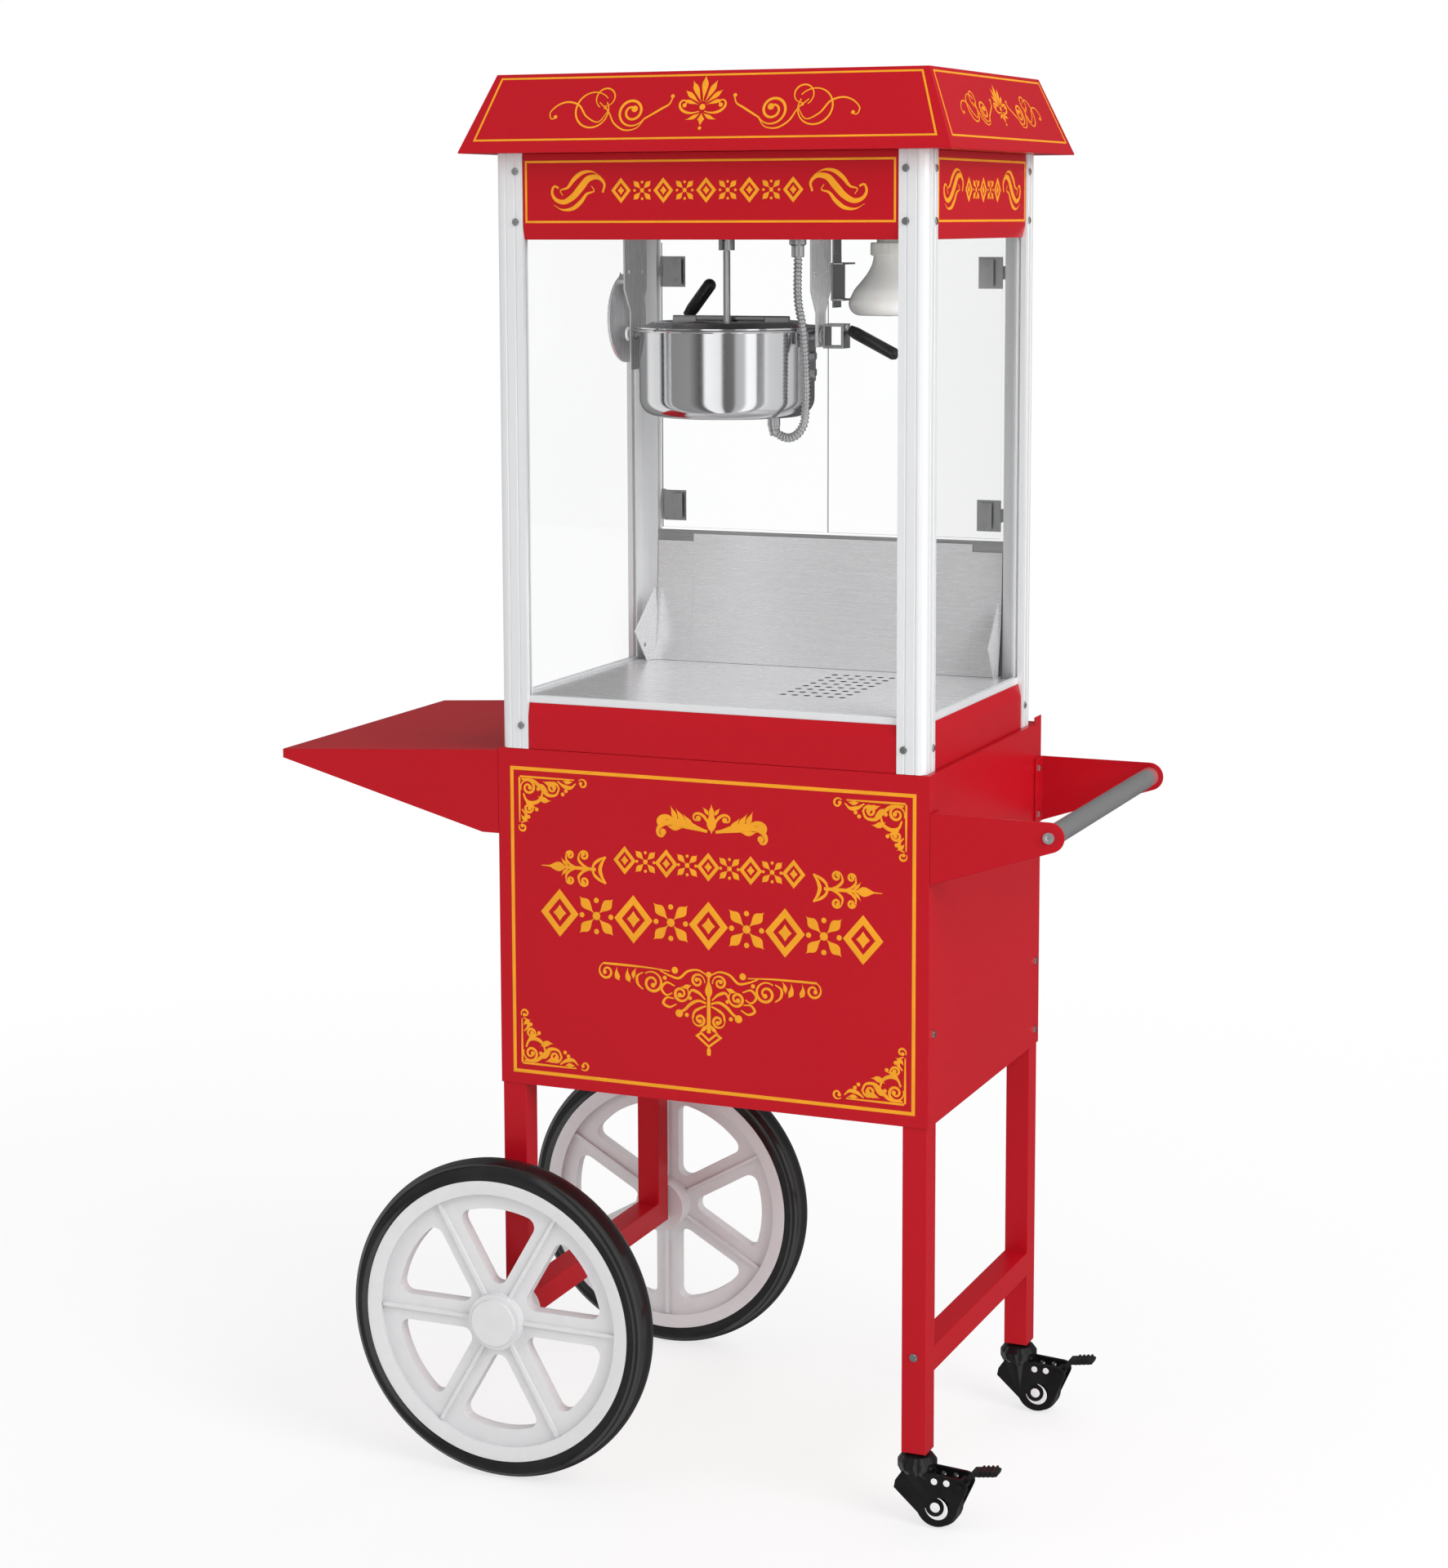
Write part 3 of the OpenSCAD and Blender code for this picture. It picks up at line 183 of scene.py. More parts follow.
def tidy_mesh(mesh, bevel, keep, flat=True):
    """Welds double points, joins flat faces, marks edges over the angle as sharp and gives the
    sharp edges that are long enough for the bevel a weight."""
    weld, level, shortest = 2e-6, math.radians(0.4), 2.4 * bevel
    shell = bmesh.new()
    shell.from_mesh(mesh)
    bmesh.ops.remove_doubles(shell, verts=shell.verts, dist=weld)
    if flat:
        bmesh.ops.dissolve_limit(shell, angle_limit=level, verts=shell.verts, edges=shell.edges)
    layers = shell.edges.layers.float
    weight = layers.get("bevel_weight_edge") or layers.new("bevel_weight_edge")
    limit = math.radians(keep)
    for edge in shell.edges:
        sharp = edge.calc_face_angle(0.0) > limit
        edge.smooth = not sharp
        edge[weight] = 1.0 if sharp and bevel and edge.calc_length() > shortest else 0.0
    for face in shell.faces:
        face.smooth = True
    shell.to_mesh(mesh)
    shell.free()


def dress(node, material, bevel=0.0, keep=22):
    """Finished copy of a frame node with rounded edges, standing for that node."""
    mesh = NODES[node].data.copy()
    mesh.name = node + "_finished"
    normals = mesh.attributes.get("custom_normal")
    if normals:
        mesh.attributes.remove(normals)
    tidy_mesh(mesh, bevel * MM, keep)
    mesh.materials.clear()
    mesh.materials.append(material)
    piece = bpy.data.objects.new(node + "_finished", mesh)
    bpy.context.scene.collection.objects.link(piece)
    if bevel:
        rounding = piece.modifiers.new("rounded edges", "BEVEL")
        rounding.limit_method = "WEIGHT"
        rounding.width = bevel * MM
        rounding.segments = 2
        rounding.harden_normals = True
    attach(piece, BODY_OF[node])
    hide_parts(node)
    return piece


# ---- finishes ----


def add_node(tree, kind, operation=None, **inputs):
    """New shader node of a kind, with its operation and plain values on its inputs."""
    made = tree.nodes.new("ShaderNode" + kind)
    if operation:
        made.operation = operation
    for socket, value in inputs.items():
        made.inputs[socket.replace("_", " ")].default_value = value
    return made


def seen_ray(tree, path):
    """1 for a ray of the camera, also behind a pane, and 0 for any other ray."""
    either = add_node(tree, "Math", "MAXIMUM")
    tree.links.new(path.outputs["Is Camera Ray"], either.inputs[0])
    tree.links.new(path.outputs["Is Transmission Ray"], either.inputs[1])
    return either.outputs[0]


def add_noise(tree, scale, stretch):
    """Noise on Object coordinates, stretched along an axis by a smaller factor there."""
    place = add_node(tree, "TexCoord")
    mapping = add_node(tree, "Mapping", Scale=stretch)
    noise = add_node(tree, "TexNoise", Scale=scale, Detail=3.0)
    tree.links.new(place.outputs["Object"], mapping.inputs["Vector"])
    tree.links.new(mapping.outputs["Vector"], noise.inputs["Vector"])
    return noise.outputs["Fac"]


def spread(tree, factor, low, high):
    """The factor's middle range carried to the range from low to high."""
    ranged = add_node(tree, "MapRange", From_Min=0.3, From_Max=0.7, To_Min=low, To_Max=high)
    tree.links.new(factor, ranged.inputs["Value"])
    return ranged.outputs["Result"]


def finish(name, colour, second, metal=0.0, rough=(0.3, 0.4), cloud=6.0, grain=300.0,
           stretch=(1, 1, 1), bump=0.1, **sockets):
    """Procedural finish: two near colours mixed by a wide cloud, roughness and bump from a fine
    grain that may be stretched into brushing, and plain values straight on the shader's
    sockets."""
    material = bpy.data.materials.get(name)
    if material:
        return material
    material = bpy.data.materials.new(name)
    material.use_nodes = True
    tree = material.node_tree
    shader = tree.nodes["Principled BSDF"]
    shader.inputs["Metallic"].default_value = metal
    for socket, value in sockets.items():
        shader.inputs[socket.replace("_", " ")].default_value = value
    mix = tree.nodes.new("ShaderNodeMix")
    mix.data_type = "RGBA"
    mix.inputs["A"].default_value = (*colour, 1)
    mix.inputs["B"].default_value = (*second, 1)
    tree.links.new(spread(tree, add_noise(tree, cloud, (1, 1, 1)), 0, 1), mix.inputs["Factor"])
    tree.links.new(mix.outputs["Result"], shader.inputs["Base Color"])
    fine = add_noise(tree, grain, stretch)
    tree.links.new(spread(tree, fine, *rough), shader.inputs["Roughness"])
    if bump:
        relief = add_node(tree, "Bump", Strength=bump, Distance=0.1 * MM)
        tree.links.new(fine, relief.inputs["Height"])
        tree.links.new(relief.outputs["Normal"], shader.inputs["Normal"])
    return material


def shade(colour, share):
    """A colour made darker by a share."""
    return tuple(c * share for c in colour[:3])


def red_enamel():
    red = bpy.context.scene.popcorn_paint.red
    return finish("red enamel", red, shade(red, 0.95), rough=(0.28, 0.29), cloud=2.5, grain=8,
                  bump=0, Specular_IOR_Level=0.22)


def gold_paint():
    gold = bpy.context.scene.popcorn_paint.gold
    return finish("gold paint", gold, shade(gold, 0.88), rough=(0.34, 0.46), cloud=30, grain=700,
                  bump=0.08, Specular_IOR_Level=0.25)


def brushed(direction, name="brushed steel ", metal=1.0, lighter=1.0, rough=(0.26, 0.42)):
    """Stainless sheet brushed along x, y or z."""
    steel = shade(bpy.context.scene.popcorn_metal.steel, lighter)
    stretch = tuple(0.02 if axis == direction else 1.0 for axis in "xyz")
    return finish(name + direction, steel, shade(steel, 0.93), metal=metal, rough=rough, cloud=5,
                  grain=900, stretch=stretch, bump=0.1)


def tray_steel():
    """Paler, softly reflecting sheet of the popcorn tray."""
    return brushed("x", "tray steel ", 0.5, 1.5, (0.2, 0.3))


def polished_steel():
    steel = bpy.context.scene.popcorn_metal.steel
    return finish("polished steel", shade(steel, 1.15), shade(steel, 1.05), metal=1.0,
                  rough=(0.07, 0.13), cloud=7, grain=1400, stretch=(0.03, 0.03, 1), bump=0.015)


def hole_shade_paint():
    """Painted shade for the deck's holes: near-black metal that darkens the hole walls."""
    return finish("painted hole shade", (0.02, 0.02, 0.022), (0.03, 0.03, 0.032), metal=0.5,
                  rough=(0.5, 0.7), cloud=80, grain=900, bump=0.05)


def satin_aluminium():
    metal = bpy.context.scene.popcorn_metal.aluminium
    return finish("satin aluminium", metal, shade(metal, 0.96), metal=0.3, rough=(0.3, 0.42),
                  cloud=4, grain=1200, stretch=(1, 1, 0.015), bump=0.1)


def clear_pane():
    return finish("clear pane", (0.998, 1.0, 0.999), (0.99, 0.996, 0.993), rough=(0.0, 0.015),
                  cloud=2, grain=40, bump=0, Transmission_Weight=1.0, IOR=1.12)


def opal_glass():
    return finish("opal glass", (0.88, 0.87, 0.84), (0.82, 0.81, 0.79), rough=(0.12, 0.2),
                  cloud=20, grain=300, bump=0.04, Subsurface_Weight=0.3, Subsurface_Scale=0.004,
                  Coat_Weight=0.6)


def glazed_ceramic():
    return finish("glazed ceramic", (0.8, 0.78, 0.72), (0.72, 0.7, 0.64), rough=(0.16, 0.26),
                  cloud=40, grain=500, bump=0.1, Coat_Weight=0.4)


def wheel_plastic():
    grey = bpy.context.scene.popcorn_paint.wheel
    return finish("wheel plastic", grey, shade(grey, 0.97), rough=(0.38, 0.5), cloud=60, grain=650,
                  bump=0.1)


def tyre_rubber():
    return finish("tyre rubber", (0.008, 0.008, 0.0085), (0.014, 0.014, 0.015), rough=(0.14, 0.22),
                  cloud=30, grain=420, bump=0.03, Specular_IOR_Level=0.5)


def black_gloss():
    return finish("black gloss", (0.006, 0.006, 0.0065), (0.011, 0.011, 0.012), rough=(0.12, 0.2),
                  cloud=40, grain=500, bump=0.08, Specular_IOR_Level=0.35)


def black_satin():
    return finish("black satin", (0.009, 0.009, 0.01), (0.015, 0.015, 0.016), rough=(0.18, 0.26),
                  cloud=50, grain=900, bump=0.05, Specular_IOR_Level=0.4)


def white_plastic():
    return finish("white plastic", (0.86, 0.86, 0.86), (0.8, 0.8, 0.8), rough=(0.3, 0.4), cloud=80,
                  grain=900, bump=0.08)


def switch_red():
    return finish("switch red", (0.5, 0.02, 0.015), (0.42, 0.015, 0.012), rough=(0.2, 0.3),
                  cloud=60, grain=700, bump=0.06, Coat_Weight=0.3)


# ---- sizes and colours ----


class StageSettings(bpy.types.PropertyGroup):
    """Camera, floor and lights."""

    place: FloatVectorProperty(
        name="Camera place", description="Where the camera stands", size=3, subtype="TRANSLATION",
        unit="LENGTH", default=(1.38366, -3.29472, 1.40173))
    yaw: FloatProperty(name="Yaw", description="Camera turn to the left, in degrees",
                       default=22.77)
    pitch: FloatProperty(name="Pitch", description="Camera tilt down, in degrees", default=7.35)
    roll: FloatProperty(name="Roll", description="Camera roll, in degrees", default=-0.172)
    lens: FloatProperty(name="Lens", description="Focal length in mm", default=72.845, min=20)
    shift: FloatProperty(name="Shift", description="Vertical lens shift", default=-0.1)
    key: FloatProperty(name="Key light", description="Power of the key light in watts",
                       default=125)
    fill: FloatProperty(name="Fill light", description="Power of the fill light in watts",
                        default=26)
    sky: FloatProperty(name="Room light", description="Strength of the room's even light",
                       default=0.74)


class PaintSettings(bpy.types.PropertyGroup):
    """Colours of the painted and moulded parts."""

    red: FloatVectorProperty(
        name="Enamel red", description="Main enamel colour", size=3, subtype="COLOR",
        default=(0.475, 0.0045, 0.0125))
    gold: FloatVectorProperty(
        name="Ornament gold", description="Colour of the painted ornament", size=3,
        subtype="COLOR", default=(0.86, 0.35, 0.014))
    wheel: FloatVectorProperty(
        name="Wheel grey", description="Colour of the spoked wheels", size=3, subtype="COLOR",
        default=(0.72, 0.72, 0.73))


class MetalSettings(bpy.types.PropertyGroup):
    """Colours of the bare metals."""

    steel: FloatVectorProperty(
        name="Steel", description="Reflection colour of stainless steel", size=3, subtype="COLOR",
        default=(0.62, 0.62, 0.63))
    aluminium: FloatVectorProperty(
        name="Aluminium", description="Reflection colour of the corner posts", size=3,
        subtype="COLOR", default=(0.86, 0.87, 0.88))


class ConduitSettings(bpy.types.PropertyGroup):
    """Flexible metal conduit of the heater."""

    radius: FloatProperty(
        name="Radius", description="Mean radius", default=0.0043, min=0.002, unit="LENGTH")
    ridge: FloatProperty(
        name="Ridge height", description="Half height of a corrugation", default=0.0008,
        unit="LENGTH")
    pitch: FloatProperty(
        name="Ridge pitch", description="Distance between ridges", default=0.0044, unit="LENGTH")


class ArtSettings(bpy.types.PropertyGroup):
    """Painted ornament."""

    rise: FloatProperty(
        name="Paint build", description="How far the ornament stands on its panel", default=0.0003,
        min=0.0001, unit="LENGTH")
    line: FloatProperty(
        name="Border line", description="Width of the front panel's border in mm", default=4.0,
        min=1)


class EdgeSettings(bpy.types.PropertyGroup):
    """Rounding of sheet and tube edges."""

    sheet: FloatProperty(name="Sheet edge", description="Rounding of sheet edges in mm",
                         default=0.5)
    tube: FloatProperty(name="Tube edge", description="Rounding of the leg tubes in mm",
                        default=1.6)


# ---- stage ----


# upright studio cards that gloss sees: (direction in degrees round the object, brightness)
STUDIO_CARDS = (
    (0, 0.90), (13, 0.90), (18, 0.05), (27, 0.05), (31, 0.32), (62, 0.36), (76, 0.12), (80, 0.14),
    (84, 1.30), (104, 1.15), (108, 0.16), (121, 0.20), (125, 0.62), (135, 0.70), (139, 1.40),
    (156, 1.30), (159, 0.35), (161, 0.40), (164, 1.05), (170, 0.85), (208, 0.75), (216, 0.25),
    (240, 0.12), (300, 0.10), (320, 0.30), (341, 0.35), (347, 0.95),
)


class POPCORN_OT_stage(bpy.types.Operator):
    """Camera, pale floor, room light and soft lamps"""

    bl_idname = "popcorn.stage"
    bl_label = "Stage"

    def execute(self, context):
        settings = context.scene.popcorn_stage
        self.camera(context, settings)
        self.floor()
        self.room(context, settings)
        aimed_at = Vector((0.06, 0.0, 0.85))
        for name, place, size, power in (
            ("key lamp", (3.7, -1.7, 2.9), 2.6, settings.key),
            ("fill lamp", (-3.4, -3.0, 2.2), 2.4, settings.fill),
            ("back lamp", (0.4, 3.4, 3.2), 2.0, settings.fill),
        ):
            lamp = bpy.data.lights.new(name, "AREA")
            lamp.energy = power
            lamp.size = size
            holder = bpy.data.objects.new(name, lamp)
            holder.location = place
            aim = aimed_at - Vector(place)
            holder.rotation_euler = aim.to_track_quat("-Z", "Y").to_euler()
            holder.visible_glossy = False
            context.scene.collection.objects.link(holder)
        context.scene.view_settings.view_transform = "Standard"
        return {"FINISHED"}

    def camera(self, context, settings):
        """Looks along (-sin yaw cos pitch, cos yaw cos pitch, -sin pitch)."""
        yaw, pitch, roll = (math.radians(a) for a in (settings.yaw, settings.pitch, settings.roll))
        ahead = Vector((-math.sin(yaw) * math.cos(pitch), math.cos(yaw) * math.cos(pitch),
                        -math.sin(pitch)))
        level = Vector((math.cos(yaw), math.sin(yaw), 0))
        over = level.cross(ahead)
        right = level * math.cos(roll) + over * math.sin(roll)
        up = over * math.cos(roll) - level * math.sin(roll)
        lens = bpy.data.cameras.new("camera")
        lens.lens = settings.lens
        lens.shift_y = settings.shift
        holder = bpy.data.objects.new("camera", lens)
        turn = Matrix((right, up, -ahead)).transposed().to_4x4()
        holder.matrix_world = Matrix.Translation(settings.place) @ turn
        context.scene.collection.objects.link(holder)
        context.scene.camera = holder

    def floor(self):
        """Disc that shows the object's shadow near it and turns plain white further out."""
        count, radius = 64, 14
        t = np.linspace(0, 2 * math.pi, count, endpoint=False)
        rim = np.stack([radius * np.cos(t), radius * np.sin(t), np.zeros(count)], 1)
        material = bpy.data.materials.new("pale floor")
        material.use_nodes = True
        tree = material.node_tree
        shader = tree.nodes["Principled BSDF"]
        shader.inputs["Base Color"].default_value = (0.9, 0.9, 0.9, 1)
        shader.inputs["Roughness"].default_value = 0.7
        glow = add_node(tree, "Emission", Color=WHITE)
        place = add_node(tree, "TexCoord")
        length = add_node(tree, "VectorMath", "LENGTH")
        fade = add_node(tree, "MapRange", From_Min=0.5, From_Max=2.4, To_Min=0.72, To_Max=1.0)
        share = add_node(tree, "Math", "MULTIPLY")
        mix = add_node(tree, "MixShader")
        link = tree.links.new
        link(place.outputs["Object"], length.inputs[0])
        link(length.outputs["Value"], fade.inputs["Value"])
        link(fade.outputs["Result"], share.inputs[0])
        link(seen_ray(tree, add_node(tree, "LightPath")), share.inputs[1])
        link(share.outputs[0], mix.inputs[0])
        link(shader.outputs[0], mix.inputs[1])
        link(glow.outputs[0], mix.inputs[2])
        link(mix.outputs[0], tree.nodes["Material Output"].inputs["Surface"])
        piece = add_piece("floor", rim, [list(range(count))], material, smooth=False)
        piece.visible_glossy = False

    def room(self, context, settings):
        """Even pale light; the camera and what is seen through panes get plain white, and gloss
        gets a studio of pale and dark upright cards, laid out by direction round the object."""
        world = bpy.data.worlds.new("room")
        world.use_nodes = True
        context.scene.world = world
        tree = world.node_tree
        even = tree.nodes["Background"]
        even.inputs["Color"].default_value = WHITE
        even.inputs["Strength"].default_value = settings.sky
        white = add_node(tree, "Background", Color=WHITE)
        studio = add_node(tree, "Background")
        path = add_node(tree, "LightPath")
        place = add_node(tree, "TexCoord")
        around = add_node(tree, "TexGradient")
        around.gradient_type = "RADIAL"
        cards = add_node(tree, "ValToRGB")
        stops = cards.color_ramp.elements
        stops.remove(stops[1])
        stops[0].position = 0.0
        for number, (angle, level) in enumerate(STUDIO_CARDS):
            stop = stops.new(angle / 360) if number else stops[0]
            stop.color = (level, level, level, 1)
        gloss = add_node(tree, "MixShader")
        mix = add_node(tree, "MixShader")
        link = tree.links.new
        link(place.outputs["Generated"], around.inputs["Vector"])
        link(around.outputs["Fac"], cards.inputs["Fac"])
        link(cards.outputs["Color"], studio.inputs["Color"])
        link(path.outputs["Is Glossy Ray"], gloss.inputs[0])
        link(even.outputs[0], gloss.inputs[1])
        link(studio.outputs[0], gloss.inputs[2])
        link(seen_ray(tree, path), mix.inputs[0])
        link(gloss.outputs[0], mix.inputs[1])
        link(white.outputs[0], mix.inputs[2])
        link(mix.outputs[0], tree.nodes["World Output"].inputs["Surface"])


# ---- conduit ----

# the route of the heater conduit from the ceiling gland to the box under the kettle, in metres
CONDUIT_ROUTE = np.array([
    (0.111, -0.051, 1.360), (0.112, -0.051, 1.306), (0.116, -0.051, 1.286), (0.120, -0.051, 1.238),
    (0.120, -0.051, 1.194), (0.117, -0.050, 1.176), (0.108, -0.047, 1.165), (0.097, -0.043, 1.161),
    (0.086, -0.039, 1.163), (0.078, -0.0374, 1.1685), (0.077, -0.037, 1.1724)])


def smooth_route(route, count):
    """Curve through the route's points: a cubic spline over their running distance, read at even
    steps."""
    along = np.concatenate([[0], np.cumsum(np.linalg.norm(np.diff(route, axis=0), axis=1))])
    slope = np.gradient(route, along, axis=0)
    at = np.linspace(0, along[-1], count)
    k = np.clip(np.searchsorted(along, at, "right") - 1, 0, len(route) - 2)
    span = (along[k + 1] - along[k])[:, None]
    t = (at - along[k])[:, None] / span
    curve = ((2 * t**3 - 3 * t**2 + 1) * route[k] + (t**3 - 2 * t**2 + t) * span * slope[k]
             + (3 * t**2 - 2 * t**3) * route[k + 1] + (t**3 - t**2) * span * slope[k + 1])
    return curve


class POPCORN_OT_conduit(bpy.types.Operator):
    """Corrugated metal conduit, its ceiling gland and its end ferrule"""

    bl_idname = "popcorn.conduit"
    bl_label = "Heater conduit"

    def execute(self, context):
        settings = context.scene.popcorn_conduit
        rough = smooth_route(CONDUIT_ROUTE, 400)
        length = np.linalg.norm(np.diff(rough, axis=0), axis=1).sum()
        ridges = int(round(length / settings.pitch))
        line = smooth_route(CONDUIT_ROUTE, ridges * 4 + 1)
        around = 18
        # ring i: centre line point plus radius times (cos t * side + sin t * over), where the
        # radius waves once per ridge and side and over are square to the line
        tangent = np.gradient(line, axis=0)
        tangent /= np.linalg.norm(tangent, axis=1)[:, None]
        side = np.cross(tangent, [0.0, 1.0, 0.0])
        side /= np.linalg.norm(side, axis=1)[:, None]
        over = np.cross(side, tangent)
        t = np.linspace(0, 2 * math.pi, around, endpoint=False)
        wave = settings.radius + settings.ridge * np.cos(np.arange(len(line)) * math.pi / 2)
        ring = np.cos(t)[None, :, None] * side[:, None] + np.sin(t)[None, :, None] * over[:, None]
        points = (line[:, None] + wave[:, None, None] * ring).reshape(-1, 3)
        quads = grid_faces(len(line), around, False, True)
        last = (len(line) - 1) * around
        faces = outward(points, quads)
        turned_round = not np.array_equal(faces, quads)
        ends = [list(range(around))[::-1], [last + k for k in range(around)]]
        if turned_round:
            ends = [e[::-1] for e in ends]
        metal = finish("conduit metal", (0.66, 0.66, 0.67), (0.58, 0.58, 0.59), metal=1.0,
                       rough=(0.24, 0.38), cloud=60, grain=800, bump=0.1)
        hose = add_piece("conduit_hose", points, faces.tolist() + ends, metal)
        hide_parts("heater_conduit")
        gland = turned("conduit_gland", [
            (4.0, -23), (6.4, -23), (7.0, -22.4), (7.0, -11), (8.6, -9.4), (9.4, -9), (9.4, -2.4),
            (8.4, -0.4), (7.6, -0.4), (7.6, 10.6), (4.0, 10.6)], (111, -51, 1382), (0, 0, 1),
            brushed("z"), "frame", 48)
        end = CONDUIT_ROUTE[-1] / MM
        ferrule = turned("conduit_ferrule", [
            (3.6, -9), (5.6, -9), (6.0, -8.6), (6.0, -5), (5.4, -4.6), (6.2, -4), (6.2, 1),
            (3.6, 1)], end, CONDUIT_ROUTE[-1] - CONDUIT_ROUTE[-2], brushed("z"), "kettle",
            40)
        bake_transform(hose, "frame", "kettle", start=CONDUIT_ROUTE[0], end=CONDUIT_ROUTE[-1])
        return {"FINISHED"}


# ---- panels and metalwork ----


class POPCORN_OT_panels(bpy.types.Operator):
    """Red enamelled sheet metal and legs with rounded edges"""

    bl_idname = "popcorn.panels"
    bl_label = "Painted panels"

    def execute(self, context):
        edges = context.scene.popcorn_edges
        for node in ("cabinet_front", "cabinet_sides", "cabinet_decks", "cabinet_door",
                     "side_shelf", "handle_arms", "control_panel"):
            dress(node, red_enamel(), edges.sheet)
        for node in ("roof_canopy", "sign_front", "sign_sides", "base_box"):
            dress(node, red_enamel(), edges.sheet, keep=12)
        for node in ("legs_left", "legs_right"):
            dress(node, red_enamel(), edges.tube)
        return {"FINISHED"}


class POPCORN_OT_metalwork(bpy.types.Operator):
    """Posts, deck, ramp, hinges, screws and the other bare metal"""

    bl_idname = "popcorn.metalwork"
    bl_label = "Bare metal"

    def execute(self, context):
        for node in ("corner_posts", "glass_channels"):
            dress(node, satin_aluminium(), 0.3)
        for node, direction in (
            ("ceiling_plate", "x"), ("crumb_drawer", "x"),
            ("back_panel", "x"), ("hinge_leaves", "z"), ("leaves_left", "z"),
            ("leaves_right", "z"), ("gear_motor", "z"), ("lamp_bracket", "z"), ("wheel_axle", "y"),
        ):
            dress(node, brushed(direction), 0.3)
        for node in ("deck_plate", "popcorn_ramp"):
            dress(node, tray_steel(), 0.3)
        # thin near-black sleeves lining each deck hole: painted shade that darkens the holes
        deck_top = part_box("deck_plate")[1].z / MM
        first_x, first_y, pitch_x, pitch_y = 98, -62, 14, 23
        hole, lining, foot, head = 4.0, 3.75, -1.45, -0.05
        sleeve_profile = [(lining, foot), (hole, foot), (hole, head), (lining, head)]
        points, faces = [], []
        for i in range(6):
            for j in range(8):
                place = (first_x + pitch_x * i, first_y + pitch_y * j, deck_top)
                sleeve, quads = lathe(sleeve_profile, place, (0, 0, 1), 20)
                faces += (quads + sum(map(len, points))).tolist()
                points.append(sleeve)
        add_piece("deck_hole_shade", np.concatenate(points), faces, hole_shade_paint(), "frame",
                  False)
        for node in ("machine_screws", "cart_bolts"):
            dress(node, polished_steel(), 0.15)
        dress("push_bar", brushed("y", "polished bar ", 0.85, 1.35, (0.12, 0.2)), 0.4)
        return {"FINISHED"}


class POPCORN_OT_glazing(bpy.types.Operator):
    """Clear panes and rear doors"""

    bl_idname = "popcorn.glazing"
    bl_label = "Clear panes"

    def execute(self, context):
        for node in ("glass_front", "glass_sides", "rear_door_left", "rear_door_right"):
            pane = dress(node, clear_pane(), 0.3)
            pane.visible_shadow = pane.visible_glossy = pane.visible_diffuse = False
        return {"FINISHED"}


class POPCORN_OT_kettle(bpy.types.Operator):
    """Kettle, lid, yoke, stirrer and grips"""

    bl_idname = "popcorn.kettle"
    bl_label = "Kettle"

    def execute(self, context):
        for node in ("lid_front", "lid_flap", "kettle_bowl"):
            dress(node, polished_steel(), 0.3, keep=30)
        dress("kettle_hangers", brushed("z", "hanger steel ", 0.45, 1.4, (0.2, 0.3)), 0.3, keep=30)
        for node in ("kettle_yoke", "kettle_heater", "drive_coupling", "stirrer"):
            dress(node, brushed("z"), 0.3, keep=30)
        for node in ("dump_grip", "lid_grip"):
            dress(node, black_satin(), 0.5, keep=30)
        return {"FINISHED"}


class POPCORN_OT_lamp(bpy.types.Operator):
    """Reflector lamp and its ceramic holder"""

    bl_idname = "popcorn.lamp"
    bl_label = "Lamp"

    def execute(self, context):
        low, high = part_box("lamp_bulb")
        centre = np.array([(low.x + high.x) / 2, (low.y + high.y) / 2, high.z]) / MM
        wide = (high.x - low.x) / 2 / MM
        tall = (high.z - low.z) / MM
        fillet = 13
        face = arc((wide - fillet, -tall + fillet + 1), fillet, -80, 20, 10)
        flare = smooth_route(np.array([
            (wide - 1.6, -tall + 20), (wide - 6, -tall + 29), (29, -2), (21.5, 8), (16.8, 18),
            (15, 29)]),
            24)
        bulb = np.concatenate([[(0, -tall), (24, -tall + 1)], face, flare, [(0, 30)]])
        turned("lamp_reflector", bulb, centre, (0, 0, 1), opal_glass(), "frame",
               72, ["lamp_bulb"], keep=50)
        turned("lamp_holder", [(0, 26), (17, 26), (19, 27.5), (19, 39.5), (18, 40.7), (12, 40.7),
                               (12, 48), (0, 48)], centre, (0, 0, 1), glazed_ceramic(), "frame",
               48, ["lamp_socket"])
        return {"FINISHED"}


class POPCORN_OT_controls(bpy.types.Operator):
    """Rocker switches and mains inlet at the back"""

    bl_idname = "popcorn.controls"
    bl_label = "Rear controls"

    def execute(self, context):
        for node, paint in (("rear_fittings", black_satin), ("rocker_light", black_satin),
                            ("rocker_heat", switch_red), ("rocker_motor", black_satin)):
            dress(node, paint(), 0.4)
        return {"FINISHED"}


def spoke_window(half, corner, outer, turn):
    """Opening between two spokes: straight sides at half a spoke's width, rounded corners and an
    outer side that follows the rim."""
    reach = math.sqrt((outer - corner) ** 2 - (half + corner) ** 2)
    lean = math.degrees(math.atan2(half + corner, reach))
    far, near = outer - corner, 2 * (half + corner)
    last = math.radians(60 - lean)
    outline = np.concatenate([
        arc((reach, half + corner), corner, -90, lean),
        arc((0, 0), outer, lean + 2, 58 - lean, 12),
        arc((far * math.cos(last), far * math.sin(last)), corner, 60 - lean, 150),
        arc((near * math.cos(math.pi / 6), near / 2), corner, 150, 270)])
    c, s = math.cos(math.radians(turn)), math.sin(math.radians(turn))
    return outline @ np.array([[c, s], [-s, c]])


